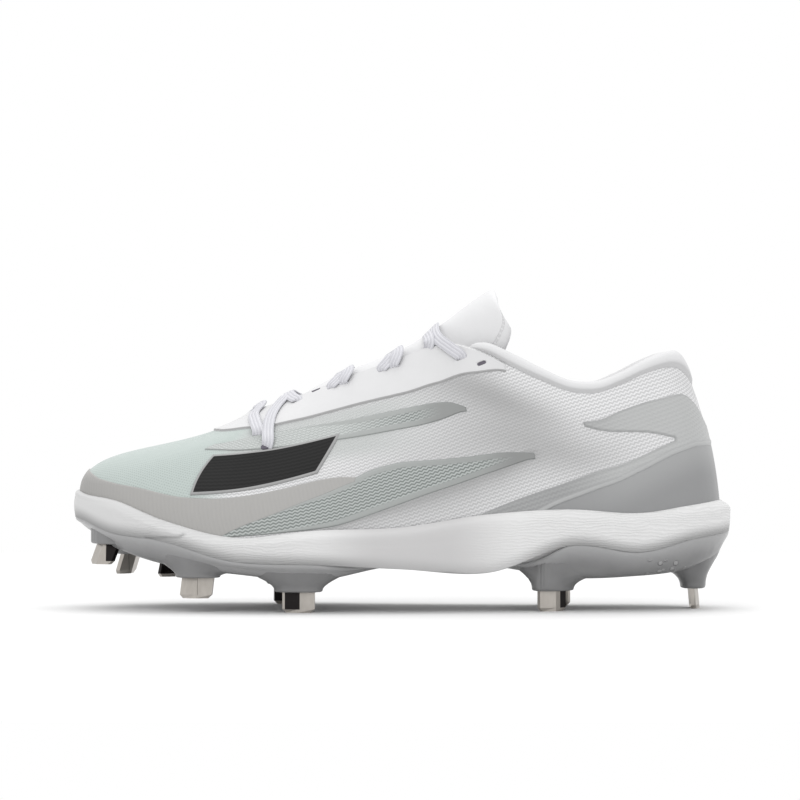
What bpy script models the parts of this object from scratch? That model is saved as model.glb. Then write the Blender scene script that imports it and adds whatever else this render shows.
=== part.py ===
"""Baseball cleat, left shoe, as an assembly of separate pieces around one last.

The shoe stands on its spikes on the floor, z = 0. The toe points to -X, the heel to +X,
the outer (lateral) side faces -Y and the inner (medial) side +Y.
Sizes below are in millimetres. The meshes are written in metres.

A place round the shoe is one number, a: 0 at the toe, 0 to 1 back along the lateral side,
1 at the heel, and 1 to 2 forward again along the medial side. Tables hold one row for each
section, at w, the share of the way from toe to heel, and shares of the named sizes.
"""

import math

import bpy
import numpy as np

MM = 0.001

# Driving sizes of the sole
LENGTH = 298.0  # toe tip to heel back, over the midsole
BALL_WIDTH = 102.0  # over the midsole at the ball
HEEL_WIDTH = 74.0  # over the midsole at the heel
SPIKE_LENGTH = 9.1  # how far a spike stands out of its pod
SPIKE_WIDTH = 14.4
SPIKE_THICKNESS = 2.0
SPIKE_ROOT = 4.0  # how far a spike reaches into its pod
SPIKE_CORNER = 1.6  # bevel at a spike's two lower corners
POD_DROP = 5.9  # how far a pod stands out of the plate under the heel and ball
TOE_SPRING = 21.0  # rise of the plate at the toe tip
PLATE_THICKNESS = 2.8
HEEL_FOAM = 14.0  # foam between plate and footbed under the heel
RIM_DEPTH = 15.0  # height of the midsole's rim over the footbed, at the heel
WRAP_HEIGHT = 14.4  # how high the plate climbs the side, at the heel

# Driving sizes of the upper
INSTEP_HEIGHT = 93.0  # top corner of the throat over the footbed
HEEL_HEIGHT = 79.0  # highest part of the wall's top edge behind, over the footbed
COLLAR_WIDTH = 63.0  # across the top edge at the ankle
FEATHER_INSET = 4.6  # upper's lower edge, in from the outline
PLATE_EDGE_INSET = 1.6  # plate's edge, in from the outline
UPPER_WALL = 2.2
OVERLAY_THICKNESS = 0.8
INSOLE_THICKNESS = 4.0
COLLAR_PAD = 7.0  # thickness of the collar's padding
COLLAR_DEPTH = 24.0  # how far the padding reaches down inside
TONGUE_THICKNESS = 3.4
LACE_WIDTH = 6.4
LACE_THICKNESS = 1.2

# Clearances
GAP = 0.3  # between pieces that touch
SLOT_GAP = 0.3  # round a spike in its pod

SEGMENTS = 34  # faces along one side of the shoe
WALL_ROWS = 10  # faces from the upper's lower edge to its top edge
COLLAR_STEPS = 36  # faces round the collar
TONGUE_STEPS = 14
TONGUE_ACROSS = 8
LACE_STEPS = 15
POD_SIDES = 12

# Small fixed sizes of the sole's joints
FOAM_CLEAR = 0.45  # foam rim to the upper it cups
RIM_CLEAR = 0.9  # rim's top to the lower edge of the layers on the upper
RIM_EDGE = 1.2  # width of the rim's top
RIM_DROP = 0.5  # how much its outer edge is lower
SIDE_TOP = 2.6  # depth of the rounding under the rim's top
SOLE_GAP = 0.5  # between plate and foam, measured straight up
LIP_WIDTH = 2.2  # width of the plate's upper edge
TRAY_INSET = 9.0  # from the plate's edge to its floor
PLATE_SHARES = (0.0, 0.18, 0.45, 0.80)  # the outside of the tray: shares of TRAY_INSET
PLATE_CLIMB = (1.0, 0.50, 0.14, 0.0)  # and of the climb from floor to lip there
POD_MARGIN = 2.0  # least distance from a pod's foot to the plate's edge
POD_WALL = 1.2  # extra width of a pod round its spike
POD_LEAST = 0.2  # least share of its reach that a pod keeps where the plate's edge is near
POD_ROWS = ((0.0, 0.62), (0.10, 0.62))  # widening over pod_end, and depth for a width of 1, at its end
POD_FOOT_DEPTH = 0.9  # depth of a pod's foot for a width of 1
POD_FOOT_SHARES = (1.0, 0.66, 0.33)  # rings of its foot, inside the plate
POD_CLIMB = 0.16  # height of the second ring, as a share of the pod's
POD_GRIP = 1.6  # least depth of a spike in its pod
POD_SKIN = 0.5  # least drop of a pod's end under the plate
POCKET_REACH = 1.0  # how far the tool that cuts a pocket reaches out of the pod
POCKET_ROOF = 0.8  # least plate left over a spike
INSOLE_CLEAR = 0.6  # insole to the upper's wall
LACE_CLEAR = 1.0  # flat laces to the curved eyestay
LACE_OVERLAP = 0.75  # lift of the upper strand at a crossing, as a share of its thickness

SOLE_COLUMNS = ("w", "ball", "lateral", "medial", "rise", "foam", "rim", "edge")
# ball: how far the width follows BALL_WIDTH, and HEEL_WIDTH for the rest
# lateral, medial: y as a share of half that width
# rise: lift of the plate over its heel height, share of TOE_SPRING
# foam, rim, edge: shares of HEEL_FOAM, RIM_DEPTH and WRAP_HEIGHT
SOLE_ROWS = (
    (0.000, 1.0, 0.137, 0.137, 1.000, 0.300, 0.700, 0.347),
    (0.083, 1.0, -0.176, 0.431, 0.881, 0.450, 0.600, 0.451),
    (0.167, 1.0, -0.549, 0.735, 0.538, 0.743, 0.620, 0.576),
    (0.250, 1.0, -0.794, 0.902, 0.262, 0.657, 0.513, 0.750),
    (0.333, 1.0, -0.953, 0.994, 0.095, 0.479, 0.467, 0.410),
    (0.417, 1.0, -1.000, 0.947, -0.029, 0.521, 0.807, 0.486),
    (0.500, 1.0, -0.931, 0.780, 0.238, 0.264, 0.767, -0.042),
    (0.583, 0.5, -0.943, 0.786, 0.238, 0.479, 0.927, -0.167),
    (0.667, 0.1, -1.010, 0.922, 0.000, 0.979, 0.947, 1.000),
    (0.750, 0.0, -0.995, 0.968, 0.033, 1.000, 0.767, 0.743),
    (0.833, 0.0, -0.824, 0.824, 0.143, 0.907, 0.900, 0.958),
    (0.917, 0.0, -0.459, 0.473, 0.333, 0.657, 0.993, 0.847),
    (1.000, 0.0, 0.014, 0.014, 0.429, 0.514, 1.007, 0.764),
)
# The plate's edge draws in under the arch, fully between the two middle shares of w
WAIST_INSET = 13.0
WAIST_SHARES = (0.42, 0.50, 0.59, 0.67)

UPPER_COLUMNS = (
    "w", "x", "lateral", "medial", "instep", "heel", "roll", "up_low", "out_low", "out_top", "down_top",
)
# x: share of LENGTH from the toe; lateral, medial: y as a share of half COLLAR_WIDTH
# instep, heel: height of the top edge over the footbed, shares of INSTEP_HEIGHT and HEEL_HEIGHT
# roll: height of the collar's roll over the top edge, share of ROLL_HEIGHT
# up_low, out_low, out_top, down_top: handles of the wall's curve, shares of INSTEP_HEIGHT
ROLL_HEIGHT = 16.0
UPPER_ROWS = (
    (0.000, 0.279, 0.095, 0.095, 0.505, 0.000, 0.000, 0.390, 0.122, 0.366, 0.258),
    (0.083, 0.281, -0.063, 0.254, 0.508, 0.000, 0.000, 0.386, 0.112, 0.355, 0.254),
    (0.167, 0.292, -0.175, 0.365, 0.555, 0.000, 0.000, 0.372, 0.056, 0.301, 0.226),
    (0.250, 0.319, -0.270, 0.444, 0.660, 0.000, 0.000, 0.355, 0.032, 0.237, 0.172),
    (0.333, 0.359, -0.349, 0.492, 0.766, 0.000, 0.000, 0.323, 0.022, 0.172, 0.129),
    (0.417, 0.426, -0.444, 0.540, 0.874, 0.000, 0.000, 0.312, 0.016, 0.140, 0.145),
    (0.500, 0.507, -0.556, 0.603, 0.946, 0.000, 0.000, 0.301, 0.016, 0.113, 0.177),
    (0.542, 0.547, -0.635, 0.667, 0.978, 0.000, 0.094, 0.301, 0.016, 0.086, 0.204),
    (0.567, 0.574, -0.714, 0.746, 0.980, 0.000, 0.250, 0.301, 0.016, 0.075, 0.215),
    (0.600, 0.622, -0.841, 0.873, 0.741, 0.218, 0.330, 0.301, 0.016, 0.054, 0.237),
    (0.633, 0.668, -0.921, 0.937, 0.505, 0.396, 0.390, 0.280, 0.022, 0.043, 0.226),
    (0.667, 0.713, -0.984, 0.984, 0.308, 0.543, 0.345, 0.258, 0.022, 0.038, 0.215),
    (0.700, 0.752, -1.000, 1.000, 0.143, 0.675, 0.312, 0.258, 0.022, 0.032, 0.215),
    (0.733, 0.792, -0.978, 0.978, 0.000, 0.832, 0.312, 0.269, 0.027, 0.032, 0.226),
    (0.767, 0.829, -0.921, 0.921, 0.000, 0.877, 0.312, 0.280, 0.032, 0.032, 0.237),
    (0.800, 0.862, -0.835, 0.835, 0.000, 0.927, 0.344, 0.280, 0.032, 0.032, 0.237),
    (0.833, 0.891, -0.714, 0.714, 0.000, 0.956, 0.406, 0.280, 0.032, 0.043, 0.237),
    (0.875, 0.912, -0.571, 0.571, 0.000, 0.956, 0.469, 0.290, 0.032, 0.054, 0.226),
    (0.917, 0.927, -0.413, 0.413, 0.000, 0.918, 0.688, 0.290, 0.012, 0.062, 0.215),
    (0.958, 0.938, -0.216, 0.216, 0.000, 0.865, 0.906, 0.301, -0.008, 0.066, 0.194),
    (1.000, 0.942, 0.000, 0.000, 0.000, 0.843, 1.012, 0.301, -0.012, 0.070, 0.177),
)


def table(rows, names):
    """A table's columns by name."""
    return {name: np.array([row[place] for row in rows]) for place, name in enumerate(names)}


SOLE = table(SOLE_ROWS, SOLE_COLUMNS)
UPPER = table(UPPER_ROWS, UPPER_COLUMNS)


def round_trip(knots, lateral, medial, a):
    """Smooth closed curve through a value a row, back along the lateral side and forward along the medial.

    Each stretch between two rows is a cubic. Its slope at a row is that of the parabola
    through the row and its two neighbours.
    """
    times = np.concatenate([knots, 2.0 - knots[-2:0:-1]])
    values = np.concatenate([lateral, medial[-2:0:-1]])
    steps = np.diff(np.append(times, 2.0))
    steps_before = np.roll(steps, 1)
    after = np.roll(values, -1)
    slopes = (after - values) / steps
    tangents = (np.roll(slopes, 1) * steps + slopes * steps_before) / (steps + steps_before)
    tangents_after = np.roll(tangents, -1)
    a = np.mod(a, 2.0)
    row = np.clip(np.searchsorted(times, a, side="right") - 1, 0, len(times) - 1)
    t = (a - times[row]) / steps[row]
    start = (2 * t**3 - 3 * t**2 + 1) * values[row] + (t**3 - 2 * t**2 + t) * steps[row] * tangents[row]
    end = (3 * t**2 - 2 * t**3) * after[row] + (t**3 - t**2) * steps[row] * tangents_after[row]
    return start + end


def level(chart, name, a):
    """A column that is the same on both sides, at a."""
    return round_trip(chart["w"], chart[name], chart[name], a)


def smooth(low, high, value):
    """Rises smoothly from 0 at low to 1 at high."""
    t = np.clip((value - low) / (high - low), 0.0, 1.0)
    return t * t * (3 - 2 * t)


def side_share(a):
    """w at a, the share of the way from toe to heel on whichever side."""
    return 1.0 - np.abs(np.mod(a, 2.0) - 1.0)


def outline(a):
    """The midsole's widest outline seen from above, as x and y."""
    ball = level(SOLE, "ball", a)
    half_width = 0.5 * (ball * BALL_WIDTH + (1 - ball) * HEEL_WIDTH)
    y = half_width * round_trip(SOLE["w"], SOLE["lateral"], SOLE["medial"], a)
    return np.stack([-0.5 * LENGTH * np.cos(math.pi * a), y], axis=-1)


def outward(a):
    """Direction out of the shoe at a, level, square to the outline."""
    step = 0.004
    along = outline(a + step) - outline(a - step)
    across = np.stack([along[..., 1], -along[..., 0]], axis=-1)
    return across / np.linalg.norm(across, axis=-1, keepdims=True)


def inset_ring(a, inset, z):
    """Points at a, inside the outline by inset, at height z."""
    flat = outline(a) - outward(a) * np.asarray(inset)[..., None]
    return np.concatenate([flat, (z + np.zeros_like(a))[..., None]], axis=-1)


def plate_floor(a):
    """Height of the plate's underside."""
    return SPIKE_LENGTH + POD_DROP + TOE_SPRING * level(SOLE, "rise", a)


def footbed(a):
    """Height of the foam under the foot."""
    return plate_floor(a) + PLATE_THICKNESS + HEEL_FOAM * level(SOLE, "foam", a)


def rim_height(a):
    """Height of the foam's raised rim, where it meets the upper."""
    return footbed(a) + RIM_DEPTH * level(SOLE, "rim", a)


def foam_edge(a):
    """Height at which the side of the shoe turns from foam to plate."""
    return plate_floor(a) + WRAP_HEIGHT * level(SOLE, "edge", a)


def waist(a):
    """1 where the plate is drawn in under the arch, 0 elsewhere."""
    w = side_share(a)
    return smooth(WAIST_SHARES[0], WAIST_SHARES[1], w) * (1 - smooth(WAIST_SHARES[2], WAIST_SHARES[3], w))


def plate_inset(a):
    """How far the plate's edge lies inside the outline."""
    return PLATE_EDGE_INSET + WAIST_INSET * waist(a)


def plate_lip(a):
    """Height of the plate's upper edge."""
    drawn_in = waist(a)
    return foam_edge(a) * (1 - drawn_in) + (plate_floor(a) + PLATE_THICKNESS) * drawn_in


def topline(a):
    """The upper's top edge round throat and collar."""
    x = LENGTH * (level(UPPER, "x", a) - 0.5)
    y = 0.5 * COLLAR_WIDTH * round_trip(UPPER["w"], UPPER["lateral"], UPPER["medial"], a)
    rise = INSTEP_HEIGHT * level(UPPER, "instep", a) + HEEL_HEIGHT * level(UPPER, "heel", a)
    return np.stack([x, y, footbed(a) + rise], axis=-1)


def skin(a, v):
    """The upper's outer face: at each a one cubic Bezier curve, from the foam at v = 0 to the top edge at v = 1."""
    a, v = np.broadcast_arrays(np.asarray(a, float), np.asarray(v, float))
    out = np.concatenate([outward(a), np.zeros(a.shape + (1,))], axis=-1)
    up = np.array([0.0, 0.0, 1.0])
    handle = {name: INSTEP_HEIGHT * level(UPPER, name, a)[..., None] for name in UPPER_COLUMNS[7:]}
    foot = inset_ring(a, FEATHER_INSET + np.zeros_like(a), footbed(a) + GAP)
    low = foot + out * handle["out_low"] + up * handle["up_low"]
    top = topline(a)
    high = top + out * handle["out_top"] - up * handle["down_top"]
    v = v[..., None]
    return (1 - v) ** 3 * foot + 3 * v * (1 - v) ** 2 * low + 3 * v**2 * (1 - v) * high + v**3 * top


def skin_normal(a, v):
    """Unit normal of the upper's outer face, pointing out of the shoe."""
    step = 0.002
    along = skin(a + step, v) - skin(a - step, v)
    climb = skin(a, v + step) - skin(a, v - step)
    normal = np.cross(along, climb)
    return normal / np.linalg.norm(normal, axis=-1, keepdims=True)


def on_skin(a, v, lift):
    """Points off the upper's outer face by lift, outward."""
    return skin(a, v) + skin_normal(a, v) * np.asarray(lift)[..., None]


def skin_share(a, z):
    """v at which the upper's outer face first reaches height z."""
    shares = np.linspace(0.0, 0.6, 121)
    heights = skin(a[:, None], shares[None, :])[..., 2]
    heights = np.maximum.accumulate(heights, axis=1)
    return np.array([np.interp(goal, row, shares) for goal, row in zip(z, heights)])

TONGUE_COLUMNS = ("centre_x", "centre_z", "edge_x", "edge_z", "half_width", "middle", "thickness")
# centre and edge: x as a share of LENGTH from the middle, height over the footbed as a
# share of INSTEP_HEIGHT; half_width, middle: width and y of its centre line, shares of half
# COLLAR_WIDTH; thickness: of TONGUE_THICKNESS
TONGUE_ROWS = (
    (-0.248, 0.590, -0.235, 0.525, 0.50, 0.100, 1.00),
    (-0.208, 0.650, -0.195, 0.560, 0.60, 0.095, 1.00),
    (-0.168, 0.725, -0.148, 0.605, 0.66, 0.085, 1.05),
    (-0.121, 0.802, -0.094, 0.655, 0.70, 0.070, 1.10),
    (-0.067, 0.885, -0.027, 0.700, 0.72, 0.050, 1.25),
    (0.000, 0.980, 0.054, 0.755, 0.70, 0.025, 1.50),
    (0.060, 1.112, 0.128, 0.870, 0.64, 0.000, 2.05),
    (0.101, 1.218, 0.159, 1.060, 0.68, 0.000, 2.00),
    (0.127, 1.290, 0.139, 1.190, 0.72, 0.000, 0.95),
)
TONGUE_ARC = math.radians(78)  # half the arc its section spans

COLLAR_COLUMNS = ("foot_depth", "foot_height", "wall_depth", "wall_height")
# Section through the collar's padding, from its outer seam over the roll and down inside.
# depth: in from the wall's outer face. height: over the wall's top edge. Positive heights are
# shares of the roll's height, negative ones shares of COLLAR_DEPTH. Depths are shares of
# COLLAR_PAD past the wall, and the first three rows lie over the wall itself.
COLLAR_ROWS = (
    (-0.16, 0.20, 0.02, 0.075),
    (-0.20, 0.42, 0.16, 0.085),
    (-0.06, 0.78, 0.25, 0.085),
    (0.26, 1.00, 0.34, 0.085),
    (0.72, 0.98, 0.44, 0.065),
    (1.06, 0.60, 0.44, -0.040),
    (1.27, -0.06, 0.44, -0.120),
    (1.30, -0.28, 0.44, -0.300),
    (1.12, -0.54, 0.44, -0.540),
    (0.84, -0.78, 0.44, -0.780),
    (0.56, -1.00, 0.44, -1.000),
)
COLLAR_START = 0.584  # w at the front ends of the padding
COLLAR_FULL = 0.70  # w from which it is as thick as COLLAR_PAD
COLLAR_BACK = 0.44  # depth of its back, against the wall's inner face

# Overlays on the upper's outer face: edges as shares v of the wall's height, at w
EYESTAY_EDGE = (
    (0.000, 0.825), (0.080, 0.825), (0.205, 0.765), (0.280, 0.716), (0.360, 0.722),
    (0.435, 0.738), (0.505, 0.740), (0.560, 0.762), (0.600, 0.862), (0.622, 0.935),
)
RAND_EDGE = ((0.000, 0.260), (0.050, 0.235), (0.100, 0.200), (0.150, 0.190), (0.200, 0.215), (0.300, 0.170))
FILM_HIGH_TOP = ((0.225, 0.628), (0.280, 0.682), (0.350, 0.700), (0.465, 0.668), (0.560, 0.664), (0.575, 0.650))
FILM_HIGH_LOW = ((0.225, 0.560), (0.273, 0.585), (0.360, 0.628), (0.422, 0.632), (0.560, 0.622), (0.575, 0.634))
FILM_LOW_TOP = (
    (0.318, 0.185), (0.343, 0.225), (0.393, 0.305), (0.443, 0.370), (0.495, 0.415),
    (0.540, 0.408), (0.573, 0.412), (0.640, 0.497),
)
FILM_LOW_LOW = (
    (0.318, 0.100), (0.438, 0.175), (0.482, 0.212), (0.517, 0.255), (0.568, 0.308), (0.603, 0.372), (0.640, 0.470),
)
COUNTER_TOP = (
    (0.716, 0.785), (0.760, 0.820), (0.820, 0.798), (0.883, 0.815), (0.920, 0.796), (0.945, 0.755),
    (0.965, 0.705), (0.985, 0.672), (1.000, 0.665),
)
COUNTER_NOTCH_HIGH = ((0.716, 0.742), (0.780, 0.645), (0.815, 0.600), (0.828, 0.575), (1.000, 0.575))
COUNTER_NOTCH_LOW = (
    (0.600, 0.205), (0.640, 0.280), (0.715, 0.445), (0.780, 0.500), (0.812, 0.522), (0.828, 0.545), (1.000, 0.545),
)
COUNTER_TAIL = 0.605  # w at the tip of the counter's lower tail
COUNTER_FINGER = 0.716  # w at the tip of its upper tail
COUNTER_FORK = 0.828  # w at the bottom of the notch between them
# The side panel's corners, as (w, v): front low, back low, front high, back high
PANEL_CORNERS = ((0.264, 0.235), (0.405, 0.400), (0.243, 0.500), (0.420, 0.596))

EYELETS = (0.190, 0.305, 0.400, 0.478, 0.562)  # w of the lace slots, front to back
EYELET_REACH = 0.93  # v of the lace slots in the eyestay

SPIKE_COLUMNS = ("name", "along", "across", "tip", "lean_x", "lean_y", "turn", "pod_base", "pod_end")
# along: share of LENGTH from the toe; across: -1 at the outline's lateral edge there, 1 at its
# medial edge; tip: height over the floor, share of TOE_SPRING; lean: how far the tip shifts for
# each unit of length; turn: degrees
# pod_base, pod_end: half-widths of the pod at the plate and at its end, shares of SPIKE_WIDTH
SPIKE_ROWS = (
    ("spike_toe_lateral", 0.048, -0.763, 0.98, -0.36, -0.1, -46.0, 0.72, 0.58),
    ("spike_toe_medial", 0.074, 0.51, 0.7, -0.3, 0.12, 62.0, 0.72, 0.58),
    ("spike_forefoot_lateral", 0.193, -0.759, 0.295, -0.12, -0.12, -8.0, 0.95, 0.6),
    ("spike_forefoot_medial", 0.142, 0.767, 0.6, -0.2, 0.15, 40.0, 0.85, 0.58),
    ("spike_ball_lateral", 0.347, -0.735, 0.0, 0.0, -0.06, -6.0, 1.15, 0.66),
    ("spike_ball_medial", 0.326, 0.718, 0.0, 0.0, 0.06, 12.0, 1.05, 0.66),
    ("spike_heel_lateral", 0.725, -0.629, 0.0, 0.0, -0.05, 35.0, 0.9, 0.62),
    ("spike_heel_medial", 0.738, 0.681, 0.0, 0.0, 0.05, -35.0, 0.8, 0.6),
    ("spike_heel_back", 0.943, -0.002, 0.0, 0.09, 0.0, 90.0, 0.8, 0.56),
)
SPIKE_BEND = 2.2  # how far a spike's middle stands forward of its ends
POD_STEM = 2.0  # least a pod stands out of the plate

MATERIALS = {
    "foam_white": ((0.90, 0.90, 0.90), 0.55, 0.0),
    "plate_grey": ((0.36, 0.37, 0.38), 0.40, 0.0),
    "spike_steel": ((0.56, 0.54, 0.50), 0.28, 1.0),
    "knit_white": ((0.86, 0.87, 0.87), 0.85, 0.0),
    "smooth_white": ((0.90, 0.90, 0.91), 0.50, 0.0),
    "film_pale": ((0.66, 0.70, 0.69), 0.40, 0.0),
    "film_grey": ((0.42, 0.42, 0.41), 0.42, 0.0),
    "panel_dark": ((0.02, 0.02, 0.022), 0.45, 0.0),
    "padding_white": ((0.90, 0.90, 0.90), 0.80, 0.0),
    "lace_grey": ((0.58, 0.58, 0.62), 0.75, 0.0),
    "lining_grey": ((0.55, 0.56, 0.57), 0.85, 0.0),
}


def material_for(node, slot):
    """A material of the node's own, named for slot and node."""
    colour, roughness, metallic = MATERIALS[slot]
    material = bpy.data.materials.new(f"{slot}_{node}")
    material.use_nodes = True
    surface = material.node_tree.nodes["Principled BSDF"]
    surface.inputs["Base Color"].default_value = (*colour, 1.0)
    surface.inputs["Roughness"].default_value = roughness
    surface.inputs["Metallic"].default_value = metallic
    material.diffuse_color = (*colour, 1.0)
    return material


def solid(name, points, faces, slot=None, cutter=False):
    """An object from points in millimetres and faces, in the shoe's collection or the cutters'."""
    mesh = bpy.data.meshes.new(name)
    used = sorted({corner for face in faces for corner in face})
    place = {corner: new for new, corner in enumerate(used)}
    mesh.from_pydata(
        [tuple(points[corner] * MM) for corner in used], [], [[place[corner] for corner in face] for face in faces],
    )
    mesh.validate()
    obj = bpy.data.objects.new(name, mesh)
    if cutter:
        CUTTERS.objects.link(obj)
        obj.hide_render = True
        obj.display_type = "WIRE"
    else:
        SHOE.objects.link(obj)
        mesh.materials.append(material_for(name, slot))
        for face in mesh.polygons:
            face.use_smooth = len(face.vertices) <= 4
    return obj


def between(outer, inner, keep=None, closed=False):
    """Points and faces of the closed solid between two grids of points, row by row.

    keep says which cells of the grid are solid. closed joins the last row to the first.
    """
    rows, columns = outer.shape[:2]
    cell_rows = rows if closed else rows - 1
    if keep is None:
        keep = np.ones((cell_rows, columns - 1), bool)
    points = np.concatenate([outer.reshape(-1, 3), inner.reshape(-1, 3)])
    inside = rows * columns
    faces = []
    for i, j in zip(*np.nonzero(keep)):
        after = (i + 1) % rows
        quad = [i * columns + j, after * columns + j, after * columns + j + 1, i * columns + j + 1]
        faces.append(quad)
        faces.append([corner + inside for corner in reversed(quad)])
        for k, (di, dj) in enumerate(((0, -1), (1, 0), (0, 1), (-1, 0))):
            beside = (i + di) % rows if closed else i + di
            across = j + dj
            solid_there = 0 <= across < columns - 1 and 0 <= beside < cell_rows and keep[beside, across]
            if not solid_there:
                first, second = quad[k], quad[(k + 1) % 4]
                faces.append([second, first, first + inside, second + inside])
    return points, faces


def shell(name, outer, inner, slot=None, keep=None, closed=False, cutter=False):
    """An object that fills the space between two grids of points."""
    points, faces = between(outer, inner, keep, closed)
    return solid(name, points, faces, slot, cutter)


def layered(name, rings, slot, other_way=False):
    """A solid from closed rings round the shoe, top first, closed across from side to side.

    other_way splits the faces between rings along their other diagonal.
    """
    rings = np.array(rings)
    count, around = rings.shape[:2]
    faces = []
    for r in range(count - 1):
        for i in range(around):
            after = (i + 1) % around
            here, below = r * around, (r + 1) * around
            if other_way:
                faces.append([here + i, below + i, here + after])
                faces.append([below + i, below + after, here + after])
            else:
                faces.append([here + i, below + i, below + after])
                faces.append([here + i, below + after, here + after])
    half = around // 2
    for base, flip in ((0, False), ((count - 1) * around, True)):
        for i in range(half):
            corners = [i, i + 1, around - i - 1, (around - i) % around]
            for triangle in ([corners[0], corners[1], corners[2]], [corners[0], corners[2], corners[3]]):
                if len(set(triangle)) == 3:
                    triangle = [base + corner for corner in triangle]
                    faces.append(triangle[::-1] if flip else triangle)
    return solid(name, rings.reshape(-1, 3), faces, slot)


def drum(rings):
    """Points and faces of a solid from a few rings, bottom first, each end a fan about its middle."""
    rings = np.array(rings)
    count, around = rings.shape[:2]
    points = np.concatenate([rings.reshape(-1, 3), [rings[0].mean(axis=0)], [rings[-1].mean(axis=0)]])
    low_middle, high_middle = count * around, count * around + 1
    faces = []
    for i in range(around):
        after = (i + 1) % around
        for r in range(count - 1):
            here, above = r * around, (r + 1) * around
            faces.append([here + i, here + after, above + after, above + i])
        faces.append([low_middle, after, i])
        top = (count - 1) * around
        faces.append([high_middle, top + i, top + after])
    return points, faces


def cut_or_join(target, tool, operation):
    """An exact Boolean of target with tool."""
    modifier = target.modifiers.new(f"{operation.lower()}_{tool.name}", "BOOLEAN")
    modifier.operation = operation
    modifier.solver = "EXACT"
    modifier.object = tool


def edge_curve(rows, w):
    """A share v read off a table of (w, v), at w."""
    table_w, table_v = zip(*rows)
    return np.interp(w, table_w, table_v)


def above_rim(a):
    """v just over the midsole's rim."""
    return skin_share(a, rim_height(a) + RIM_CLEAR)


def overlay(name, slot, a, low, high, rows, keep=None, lift=GAP):
    """A thin layer on the upper's outer face, from share low to share high at each a."""
    across = np.linspace(0.0, 1.0, rows + 1)
    v = low[:, None] + (high - low)[:, None] * across
    return overlay_grid(name, slot, np.repeat(a[:, None], rows + 1, axis=1), v, keep, lift)


def overlay_grid(name, slot, a, v, keep=None, lift=GAP):
    """A thin layer on the upper's outer face, over a grid of a and v."""
    outer = on_skin(a, v, lift + OVERLAY_THICKNESS + np.zeros_like(a))
    inner = on_skin(a, v, lift + np.zeros_like(a))
    return shell(name, outer, inner, slot, keep)


def make_midsole():
    """White foam: footbed, raised rim, side, and an underside that nests in the plate."""
    a = AROUND
    rim = rim_height(a)
    rim_share = skin_share(a, rim)
    inset = np.ones_like(a)
    rim_in = on_skin(a, rim_share, FOAM_CLEAR * inset)
    flat_out = np.concatenate([outward(a), np.zeros((len(a), 1))], axis=1)
    rim_out = rim_in + flat_out * RIM_EDGE
    rim_out[:, 2] -= RIM_DROP
    side_top = rim - SIDE_TOP
    edge = foam_edge(a)
    lip = plate_lip(a) + SOLE_GAP
    rings = [
        on_skin(a, 0.0 * a, FOAM_CLEAR * inset) - [0, 0, GAP],
        on_skin(a, rim_share * 0.5, FOAM_CLEAR * inset),
        rim_in,
        rim_out,
        inset_ring(a, 0.5 * inset, side_top),
        inset_ring(a, 0.0 * inset, side_top + 0.35 * (edge - side_top)),
        inset_ring(a, 0.2 * inset, side_top + 0.70 * (edge - side_top)),
        inset_ring(a, 0.6 * inset, edge + 0.5 * GAP),
        inset_ring(a, plate_inset(a) - GAP, lip),
        inset_ring(a, plate_inset(a) + LIP_WIDTH + GAP, lip),
        inset_ring(a, plate_inset(a) + TRAY_INSET + GAP, plate_floor(a) + PLATE_THICKNESS + SOLE_GAP),
    ]
    return layered("midsole", rings, "foam_white", other_way=True)


def make_plate():
    """Grey moulded plate: a tray that cups the foam, with a pod for every spike."""
    a = AROUND
    floor = plate_floor(a)
    lip = plate_lip(a)
    edge = plate_inset(a)
    rings = [
        inset_ring(a, edge + TRAY_INSET, floor + PLATE_THICKNESS),
        inset_ring(a, edge + LIP_WIDTH, lip),
        inset_ring(a, edge, lip),
    ]
    for share, climb in zip(PLATE_SHARES[1:], PLATE_CLIMB[1:]):
        rings.append(inset_ring(a, edge + share * TRAY_INSET, floor + climb * (lip - floor)))
    return layered("outsole_plate", rings, "plate_grey")


def inside_edge(spots):
    """The nearest a to each spot, and how far inside the outline it lies there."""
    a = np.linspace(0.0, 2.0, 480, endpoint=False)
    edge = outline(a)
    nearest = np.argmin(np.linalg.norm(spots[..., None, :2] - edge, axis=-1), axis=-1)
    a = a[nearest]
    return a, ((edge[nearest] - spots[..., :2]) * outward(a)).sum(axis=-1)


def kept_inside(middle, offsets, margin):
    """Offsets from a middle, each shortened until it ends at least margin inside the plate's edge."""
    shares = np.linspace(0.0, 1.0, 41)
    a, depth = inside_edge(middle + shares[:, None, None] * offsets)
    inside = np.cumprod(depth >= plate_inset(a) + margin, axis=0).sum(axis=0) - 1
    return offsets * np.maximum(shares[np.maximum(inside, 0)], POD_LEAST)[:, None]


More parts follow.
